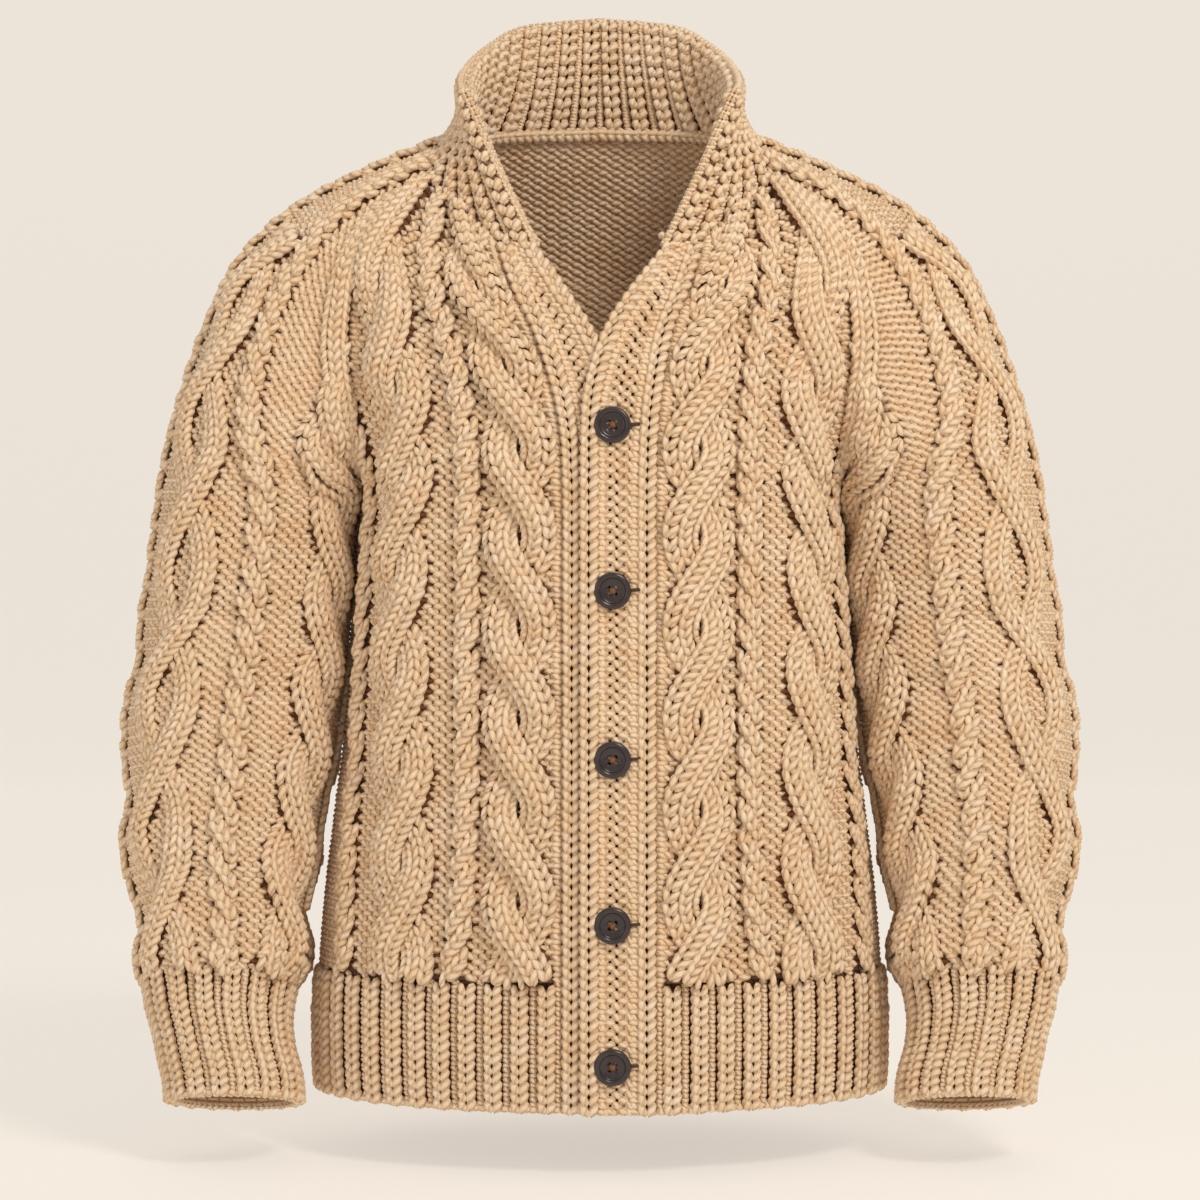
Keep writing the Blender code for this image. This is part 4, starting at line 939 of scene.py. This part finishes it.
sleeve_levels = np.linspace(CUFF_TOP, HEAD_TOP, 190)
sheet = cloth(
    sleeve, sleeve_levels, (-0.999, 0.999), SLEEVE_MIDDLE, SLEEVE_FOLDS, 121, 0.0, ease=UNDERARM
)


def half_girth(up, hand):
    """Length of a row from the ridge to the front seam, hand -1, or to the back one, 1."""
    first, last = ends_at(sheet, up)
    return -first if hand < 0 else last


def on_sleeve(hand, column):
    """The distance of a course from the ridge: hand times its share times the half girth."""
    return lambda up: hand * columns(SLEEVE_COURSES, up)[column] * half_girth(up, hand)


def lobe_width(up):
    """Width of the strand beside the seam at a length along the sleeve."""
    return columns(SLEEVE_LOBE, up)[0]


cords = [feature("rope", lambda up: 0 * up)]
for hand in (-1, 1):
    # Cables narrow where half the girth is under 0.2 m, to three quarters of their width at least.
    width = lambda up, hand=hand: np.clip(half_girth(up, hand) / 0.2, 0.75, 1)
    cords.append(feature("open", on_sleeve(hand, 0), width, hand, top=0.64))
    cords.append(feature("knots", on_sleeve(hand, 1), width, hand))
    cords.append(feature("sleeve", on_sleeve(hand, 2), width, hand, top=0.60))
    along_seam = lambda up, hand=hand: hand * (
        half_girth(up, hand) - 0.5 * lobe_width(up) + LOBE_LAP
    )
    cords.append(feature("lobe", along_seam, lambda up: lobe_width(up) / LOBE_FULL))
grains = [cable(sheet, cord) for cord in cords] + [bars(sheet, cords)]
for side in ("left", "right"):
    flip = side == "right"
    ground = shell(f"sleeve_{side}_cloth", sheet, cords, BODY_WALL, (116, 68), flip)
    dress(f"sleeve_{side}", sheet, grains, flip, rings=2, parts=2)

# ---------------------------------------------------------------------------------------------
# The ribbing at the hem and the cuffs: columns of two-leg knit stitches, standing out, between
# narrow sunken purl columns, with the cast-on row rolling round the lower edge.
# ---------------------------------------------------------------------------------------------


RIB_WALL = 0.0040
RIB_LEG = 0.0066  # the widest leg of a rib, which is no wider than RIB_SHARE of a rib and its gap
RIB_SHARE = 0.37
GAP_BAR = (0.0068, 0.0044, 0.0042)
EDGE = 0.0015  # the purl columns at the piece's sides lie this far in
CAST_ON = 0.0016  # how far in the row along an edge lies


def rib(sheet, count, row):
    """Ribs evenly across the cloth, with a column of small purl bars between each two."""
    grains, pitch = [], float(np.mean(sheet["last"] - sheet["first"])) / count
    wide = min(RIB_LEG, pitch * RIB_SHARE)
    for number in range(count):
        centre = by_share(sheet, (number + 0.5) / count)
        grains.append(knit_column(sheet, centre, row, 0.0020, wide, wide * 0.48))
    up = np.arange(sheet["levels"][0] + row / 4, sheet["levels"][-1], row / 2)
    level, gap = np.meshgrid(up, np.arange(count + 1), indexing="ij")
    first, last = ends_at(sheet, level)
    across = np.clip(first + (last - first) * gap / count, first + EDGE, last - EDGE)
    tilt = np.where(np.arange(len(up)) % 2, 0.3, -0.3)[:, None]
    grains.append(lay(sheet, level, across, None, tilt, GAP_BAR, lift=-0.0010, dive=0))
    return grains


def edge_row(sheet, up, pitch=0.0050, lift=-0.0014, size=(0.0085, 0.0056, 0.0070), lean=0.7):
    """A row of slanting bights along an edge of the cloth."""
    first, last = ends_at(sheet, up)
    across = np.arange(first + pitch / 2, last, pitch)
    return lay(sheet, up, across, None, lean, size, lift, dive=0)


hem_levels = np.linspace(0, HEM_TOP, 24)
for side, over, ribs in (("left", True, 12), ("right", False, 13)):
    sheet = front_cloth(hem_levels, over)
    ground = shell(f"hem_{side}_cloth", sheet, [], RIB_WALL, (8, 30), not over)
    grains = rib(sheet, ribs, row=0.0064) + [edge_row(sheet, CAST_ON)]
    dress(f"hem_{side}", sheet, grains, not over)
sheet = cloth(back, hem_levels, (-1.0, 1.0), BODY_MIDDLE, count=121)
ground = shell("hem_back_cloth", sheet, [], RIB_WALL, (8, 60))
grains = rib(sheet, 29, row=0.0064) + [edge_row(sheet, CAST_ON)]
dress("hem_back", sheet, grains, rings=2)
CUFF_MIDDLE = (0.257, -0.055, -0.62)
sheet = cloth(ring, np.linspace(0, CUFF_TOP, 24), (-0.999, 0.999), CUFF_MIDDLE, count=121)
for side in ("left", "right"):
    flip = side == "right"
    ground = shell(f"cuff_{side}_cloth", sheet, [], RIB_WALL, (10, 60), flip)
    grains = rib(sheet, 17, row=0.0058) + [edge_row(sheet, CAST_ON)]
    dress(f"cuff_{side}", sheet, grains, flip, rings=2)

# ---------------------------------------------------------------------------------------------
# The front bands. Each is a strip of moss stitch between two columns of knit stitches, sewn to its
# front. The buttonhole band, on the wearer's left, lies over the button band.
# ---------------------------------------------------------------------------------------------

BAND_MARGINS = (0.0115, 0.0125)  # what the knit columns take up at the free edge and at the seam
BAND_KNIT = (0.0064, -0.0074)  # their middles, from the free edge and from the seam
MOSS_SIZE = (0.0086, 0.0056, 0.0052)
band_levels = np.linspace(0, FRONT_TOP, 120)
for side, over in (("buttonhole", True), ("button", False)):
    seam, edge = columns(BANDS, band_levels)[[0, 1] if over else [2, 3]]
    ends = [share_at(FRONT, band_levels, x) for x in (edge, seam)]
    sheet = cloth(front, band_levels, ends, BODY_MIDDLE, count=25)
    if over:
        lift = band_lift(band_levels)[:, None, None]
        sheet["points"] = sheet["points"] + sheet["normals"] * lift
    ground = shell(f"{side}_band_cloth", sheet, [], RIB_WALL, (120, 9), not over)
    sheet["margins"] = BAND_MARGINS
    moss = {"row": 0.00365, "step": 0.0088, "size": MOSS_SIZE, "lean": 0.35, "lift": -0.0004}
    grains = [bars(sheet, [], **moss)]
    for place in BAND_KNIT:
        column = from_end(sheet, place)
        grains.append(knit_column(sheet, column, row=0.0069, wide=0.0062, apart=0.0034))
    grains.append(edge_row(sheet, CAST_ON))
    dress(f"{side}_band", sheet, grains, not over)

# ---------------------------------------------------------------------------------------------
# The stand collar. Ribbing picked up round the neck, doubled to stand by itself, open in front,
# with ribs outside and inside and its cast-off row along the rim.
# ---------------------------------------------------------------------------------------------

# Columns: round, waist_x, waist_y, waist_z, rim_x, rim_y, rim_z.
COLLAR = (
    (0.000, 0.0690, -0.0830, -0.0240, 0.0962, -0.0600, 0.033),
    (0.080, 0.0790, -0.0760, -0.0220, 0.0975, -0.0500, 0.037),
    (0.190, 0.0890, -0.0640, -0.0140, 0.0985, -0.0380, 0.042),
    (0.348, 0.0985, -0.0360, 0.0100, 0.0980, -0.0180, 0.050),
    (0.520, 0.0950, 0.0000, 0.0320, 0.0945, 0.0080, 0.061),
    (0.660, 0.0810, 0.0370, 0.0460, 0.0820, 0.0410, 0.079),
    (0.840, 0.0500, 0.0640, 0.0570, 0.0550, 0.0720, 0.099),
    (1.000, 0.0000, 0.0760, 0.0620, 0.0000, 0.0860, 0.107),
)
COLLAR_TALL = 0.112


def neck_seam(count):
    """Points at even steps round half of the neck: front, head of the sleeve, then back."""
    first = share_at(FRONT, FRONT[-1][0], BANDS[-1][2])
    parts = (
        front(FRONT[-1][0], np.linspace(first, 1, 60)),
        sleeve(HEAD[-1][0], np.linspace(-1, 1, 60)),
        back(BACK[-1][0], np.linspace(1, 0, 60)),
    )
    line = np.concatenate([parts[0], parts[1][1:], parts[2][1:]])
    run = np.concatenate([[0], np.cumsum(np.linalg.norm(np.diff(line, axis=0), axis=1))])
    wanted = np.linspace(0, run[-1], count)
    return np.stack([np.interp(wanted, run, line[:, axis]) for axis in range(3)], axis=-1)


def collar(around, height):
    """A parabola from the neck seam through waist to rim, around -1 and 1 at the front edges."""
    around, height = np.broadcast_arrays(around, height)
    place = 1 - np.abs(around)
    seam = neck_seam(241)
    base = np.stack([np.interp(place, np.linspace(0, 1, 241), seam[:, k]) for k in range(3)], -1)
    shape = smooth(COLLAR, place)
    v = height[..., None]
    points = base * (1 - v) * (1 - 2 * v) + shape[..., :3] * 4 * v * (1 - v)
    points = points + shape[..., 3:] * v * (2 * v - 1)
    return points * np.stack([np.where(around < 0, -1, 1), 1 + 0 * place, 1 + 0 * place], -1)


def collar_cloth(up, around):
    """The collar by height over its waist and by its share of the way round."""
    return collar(around, np.clip(up / COLLAR_TALL, 0, 1))


NECK = (0, 0, 0.03)
COLLAR_WALL = 0.0028
COLLAR_INSIDE = 0.0050  # the ribs inside lie this far under those outside
CHAIN_BIGHT = (0.0105, 0.0060, 0.0060)
sheet = cloth(collar_cloth, np.linspace(0, COLLAR_TALL, 30), (-1.0, 1.0), NECK, count=161)
ground = shell("collar_cloth", sheet, [], COLLAR_WALL, (22, 90))
grains = rib(sheet, 28, row=0.0060) + [edge_row(sheet, COLLAR_TALL - CAST_ON)]
lining = inside_of(sheet, COLLAR_INSIDE)
grains += rib(lining, 28, row=0.0060)
# A chain of two rows of slanting bights covers the neck seam inside.
for up, lean in ((0.0022, 0.5), (0.0068, -0.5)):
    grains.append(edge_row(lining, up, pitch=0.0066, lift=0.0030, size=CHAIN_BIGHT, lean=lean))
dress("collar", sheet, grains, rings=2)

# ---------------------------------------------------------------------------------------------
# The buttons. Dark polished horn plastic with a raised rim, a groove inside it and four holes, sewn
# on with a cross of ochre thread and pushed through worked buttonholes in the upper band. Each
# buttonhole shows only as a dark tube of painted shadow beside the rim.
# ---------------------------------------------------------------------------------------------

BUTTONS_UP = (0.0315, 0.1247, 0.2340, 0.3458, 0.4585)  # up the front
BUTTON_X = 0.0080
BUTTON_LIFT = 0.0007  # from the upper band to the back of a button
HOLE_OUT, HOLE_RADIUS = 0.0020, 0.00122  # a hole's middle lies as far out along both axes
HOLE_EDGE, HOLE_BEVEL = 1.35, 0.0003  # its rounded edge: outer radius against the hole's, and depth
FACE_RADIUS, FACE_HEIGHT = 0.0068, 0.0027
# Half the section of a button from the dished face over the rim to the back: radius, height.
BUTTON_SECTION = (
    (0.0068, 0.0027), (0.0076, 0.0029), (0.0082, 0.0031), (0.0086, 0.0040), (0.0092, 0.0046),
    (0.0102, 0.0049), (0.0112, 0.0047), (0.0120, 0.0039), (0.0124, 0.0028), (0.0121, 0.0016),
    (0.0110, 0.0007), (0.0092, 0.0001), (0.0068, 0.0000),
)


def horn(name, dark, light):
    """Polished dark horn plastic with faint cloudy streaks."""
    made, tree, shader = material(name, 0.22)
    clouds = noise(tree, 160.0, 4.0)
    bumped(tree, shader, mix(tree, clouds, rgb(dark), rgb(light)), clouds, 0.05, 0.0002)
    return made


def thread_look(name, colour, shade):
    """Matt thread, its colour mixed with its shade by fine noise."""
    made, tree, shader = material(name, 0.7)
    fibres = noise(tree, 2500.0)
    bumped(tree, shader, mix(tree, fibres, rgb(shade), rgb(colour)), fibres, 0.3, 0.0002)
    return made


HORN = horn("polished dark horn plastic", "#241c1e", "#453938")
THREAD = thread_look("twisted ochre sewing thread", "#b87a50", "#7a4520")
SLIT_SHADOW = thread_look("painted shadow in the buttonhole", "#5a3a22", "#3a2414")


def button_mesh():
    """A quarter of the face round one hole, its four mirrored copies front and back, and the lathed
    rim. Each quarter runs from the hole's circle straight out to the quarter's own border."""
    arc = np.radians(np.linspace(0, 90, 9))
    border = np.stack([np.cos(arc), np.sin(arc)], axis=1) * FACE_RADIUS
    inward = np.linspace(1, 0, 6)[1:] * FACE_RADIUS
    left = np.stack([0 * inward, inward], axis=1)
    bottom = np.stack([inward[::-1][1:], 0 * inward[1:]], axis=1)
    border = np.concatenate([border, left, bottom])
    hole = np.array((HOLE_OUT, HOLE_OUT))
    circle = hole + unit(border - hole) * HOLE_RADIUS
    edge = hole + unit(border - hole) * HOLE_RADIUS * HOLE_EDGE
    flats = [(border, FACE_HEIGHT), (edge, FACE_HEIGHT), (circle, FACE_HEIGHT - HOLE_BEVEL)]
    flats += [(circle, HOLE_BEVEL), (edge, 0.0), (border, 0.0)]
    rings = np.array([np.column_stack([ring, np.full(len(ring), h)]) for ring, h in flats])
    quads, count = [], len(border)
    for k in range(len(rings) - 1):
        for i in range(count):
            j = (i + 1) % count
            quads.append([rings[k, i], rings[k, j], rings[k + 1, j], rings[k + 1, i]])
    quads = np.array(quads)
    whole = []
    for x, y in ((1, 1), (-1, 1), (-1, -1), (1, -1)):
        part = quads * np.array((x, y, 1))
        whole.append(part if x * y > 0 else part[:, ::-1])
    turn = np.radians(np.linspace(0, 360, 33))
    section = np.array(BUTTON_SECTION)
    lathe = np.stack([
        section[:, :1] * np.cos(turn), section[:, :1] * np.sin(turn), section[:, 1:] + 0 * turn
    ], axis=-1)
    sides = np.stack([lathe[:-1, :-1], lathe[1:, :-1], lathe[1:, 1:], lathe[:-1, 1:]], axis=2)
    corners = np.concatenate([*whole, sides.reshape(-1, 4, 3)]).reshape(-1, 3)
    _, first, faces = np.unique(
        np.round(corners, 7), axis=0, return_index=True, return_inverse=True
    )
    return corners[first], faces.reshape(-1, 4)


def tube(path, radius, sides=8):
    """A closed round tube along a path of points, with a pole at each end."""
    path = np.asarray(path, float)
    along = unit(np.gradient(path, axis=0))
    side = unit(np.cross(along, np.array((0.123, 0.456, 0.88))))
    other = np.cross(along, side)
    turn = np.arange(sides) * 2 * np.pi / sides
    rings = path[:, None] + radius * (
        side[:, None] * np.cos(turn)[:, None] + other[:, None] * np.sin(turn)[:, None]
    )
    count = len(path)
    ids = np.arange(count * sides).reshape(count, sides)
    after = np.roll(ids, -1, axis=1)
    quads = np.stack([ids[:-1], after[:-1], after[1:], ids[1:]], axis=-1).reshape(-1, 4)
    low, high = count * sides, count * sides + 1
    caps = [np.stack([np.full(sides, low), after[0], ids[0]], axis=1)]
    caps.append(np.stack([np.full(sides, high), ids[-1], after[-1]], axis=1))
    points = np.concatenate([rings.reshape(-1, 3), path[:1], path[-1:]])
    return points, np.concatenate(caps), quads


def joined(parts):
    """Several tubes as one set of points and faces."""
    start = np.cumsum([0] + [len(points) for points, _, _ in parts[:-1]])
    points = np.concatenate([points for points, _, _ in parts])
    return points, [
        np.concatenate([part[k] + first for part, first in zip(parts, start)]) for k in (1, 2)
    ]


THREAD_RADIUS = 0.00036
THREAD_IN = 0.0006  # how far inside the middles of its holes a stitch turns down, along both axes
THREAD_ASIDE = 0.0004  # how far its two strands lie to either side of its line, along both axes
THREAD_OVER = 0.0006  # how much higher the upper stitch of a cross lies
# The painted shadow of the buttonhole, a dark tube beside the rim: its ends out from the button's
# middle, how much each point lies above the one before, its height over the button's back and its
# radius.
SLIT_ENDS, SLIT_STEP, SLIT_HEIGHT, SLIT_RADIUS = (0.008, 0.0185), 0.0002, 0.0012, 0.0011


def stitch_across(a, b, height):
    """A thread from hole to hole over the face, in a low arch, with its ends down the holes."""
    s = np.linspace(-0.14, 1.14, 12)
    x, y = a[0] + (b[0] - a[0]) * s, a[1] + (b[1] - a[1]) * s
    z = height + 0.0009 * (1 - (2 * s - 1) ** 4) - 0.012 * np.maximum(np.abs(s - 0.5) - 0.5, 0)
    return tube(np.stack([x, y, z], axis=1), THREAD_RADIUS)


points, faces = button_mesh()
for number, up in enumerate(BUTTONS_UP, 1):
    level = np.array([up])
    share = share_at(FRONT, level, BUTTON_X)
    seat, step = front(level, share)[0], 1e-4
    rise = unit(front(level + step, share)[0] - front(level - step, share)[0])
    across = unit(front(level, share + step)[0] - front(level, share - step)[0])
    normal = unit(np.cross(across, rise))
    seat = seat + normal * (BAND_LIFT + BUTTON_LIFT)
    turned = np.stack([across, np.cross(normal, across), normal])
    name = f"button_{number}"
    obj = mesh_piece(f"{name}_turned", seat + points @ turned, [faces], HORN, None)
    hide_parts(name)
    holes = np.array(((1, 1), (-1, -1), (1, -1), (-1, 1))) * (HOLE_OUT - THREAD_IN)
    parts = []
    for a, b, height in ((0, 1, FACE_HEIGHT), (2, 3, FACE_HEIGHT + THREAD_OVER)):
        for shift in (-THREAD_ASIDE, THREAD_ASIDE):
            aside = np.array((shift, -shift)) if a == 0 else np.array((shift, shift))
            parts.append(stitch_across(holes[a] + aside, holes[b] + aside, height))
    spots, sides = joined(parts)
    mesh_piece(f"{name}_thread", seat + spots @ turned, sides, THREAD)
    # The buttonhole is drawn only as a dark tube of painted shadow beside the rim.
    out = np.linspace(*SLIT_ENDS, 6)
    slit_shadow = tube([(x, SLIT_STEP * k, SLIT_HEIGHT) for k, x in enumerate(out)], SLIT_RADIUS)
    spots, sides = joined([slit_shadow])
    mesh_piece(f"{name}_buttonhole", seat + spots @ turned, sides, SLIT_SHADOW)

# ---------------------------------------------------------------------------------------------
# The studio: a pale cream floor curving up into a backdrop, a broad soft light from the upper right
# in front and a weak fill, and the camera square to the chest.
# ---------------------------------------------------------------------------------------------

FLOOR = -0.70
CURVE_FROM, CURVE_RADIUS = 4.0, 1.5  # where the floor starts to rise behind, and the curve's radius


def backdrop():
    """A floor that curves up into a wall: a quarter circle between two planes."""
    turn = np.radians(np.linspace(0, 90, 24))
    behind = CURVE_FROM + CURVE_RADIUS * np.sin(turn)
    bend = np.stack([behind, FLOOR + CURVE_RADIUS * (1 - np.cos(turn))], axis=1)
    line = np.concatenate([[(-6.0, FLOOR)], bend, [(CURVE_FROM + CURVE_RADIUS, 6.0)]])
    grid = np.array([[(x, y, z) for x in (-8.0, 8.0)] for y, z in line])
    ids = np.arange(grid.shape[0] * 2).reshape(-1, 2)
    quads = np.stack([ids[:-1, 0], ids[:-1, 1], ids[1:, 1], ids[1:, 0]], axis=-1)
    mesh = bpy.data.meshes.new("backdrop")
    mesh.from_pydata(grid.reshape(-1, 3).tolist(), [], quads.tolist())
    mesh.shade_smooth()
    made, _, shader = material("matte cream paper", 0.9)
    shader.inputs["Base Color"].default_value = rgb("#a6a19a")
    shader.inputs["Emission Color"].default_value = rgb("#f0e9e0")
    shader.inputs["Emission Strength"].default_value = 0.66
    mesh.materials.append(made)
    obj = bpy.data.objects.new("backdrop", mesh)
    bpy.context.scene.collection.objects.link(obj)


def soft_light(name, place, target, width, power, colour):
    """A round area lamp, aimed from its place at a target."""
    lamp = bpy.data.lights.new(name, "AREA")
    lamp.shape = "DISK"
    lamp.size = width
    lamp.energy = power
    lamp.color = rgb(colour)[:3]
    obj = bpy.data.objects.new(name, lamp)
    obj.location = place
    aim = mathutils.Vector(target) - mathutils.Vector(place)
    obj.rotation_euler = aim.to_track_quat("-Z", "Y").to_euler()
    bpy.context.scene.collection.objects.link(obj)


backdrop()
CHEST = (0, 0, -0.3)
soft_light("key", (1.2, -1.9, 1.8), CHEST, width=0.9, power=43, colour="#fffaf2")
soft_light("fill", (-1.8, -1.8, 0.3), CHEST, width=1.6, power=7, colour="#fffcf8")
world = bpy.data.worlds.new("studio")
world.use_nodes = True
world.node_tree.nodes["Background"].inputs[0].default_value = rgb("#fbf8f4")
world.node_tree.nodes["Background"].inputs[1].default_value = 0.50
bpy.context.scene.world = world
bpy.context.scene.view_settings.view_transform = "Standard"
bpy.context.scene.view_settings.look = "None"

# Level and 2.2 m in front of the neck, with the lens that gives the photograph's scale there.
lens = bpy.data.cameras.new("camera")
lens.lens = 93.6
lens.sensor_width = 36.0
camera = bpy.data.objects.new("camera", lens)
camera.location = (0.0, -2.2, -0.317)
camera.rotation_euler = (np.pi / 2, 0.0, 0.0)
bpy.context.scene.collection.objects.link(camera)
bpy.context.scene.camera = camera
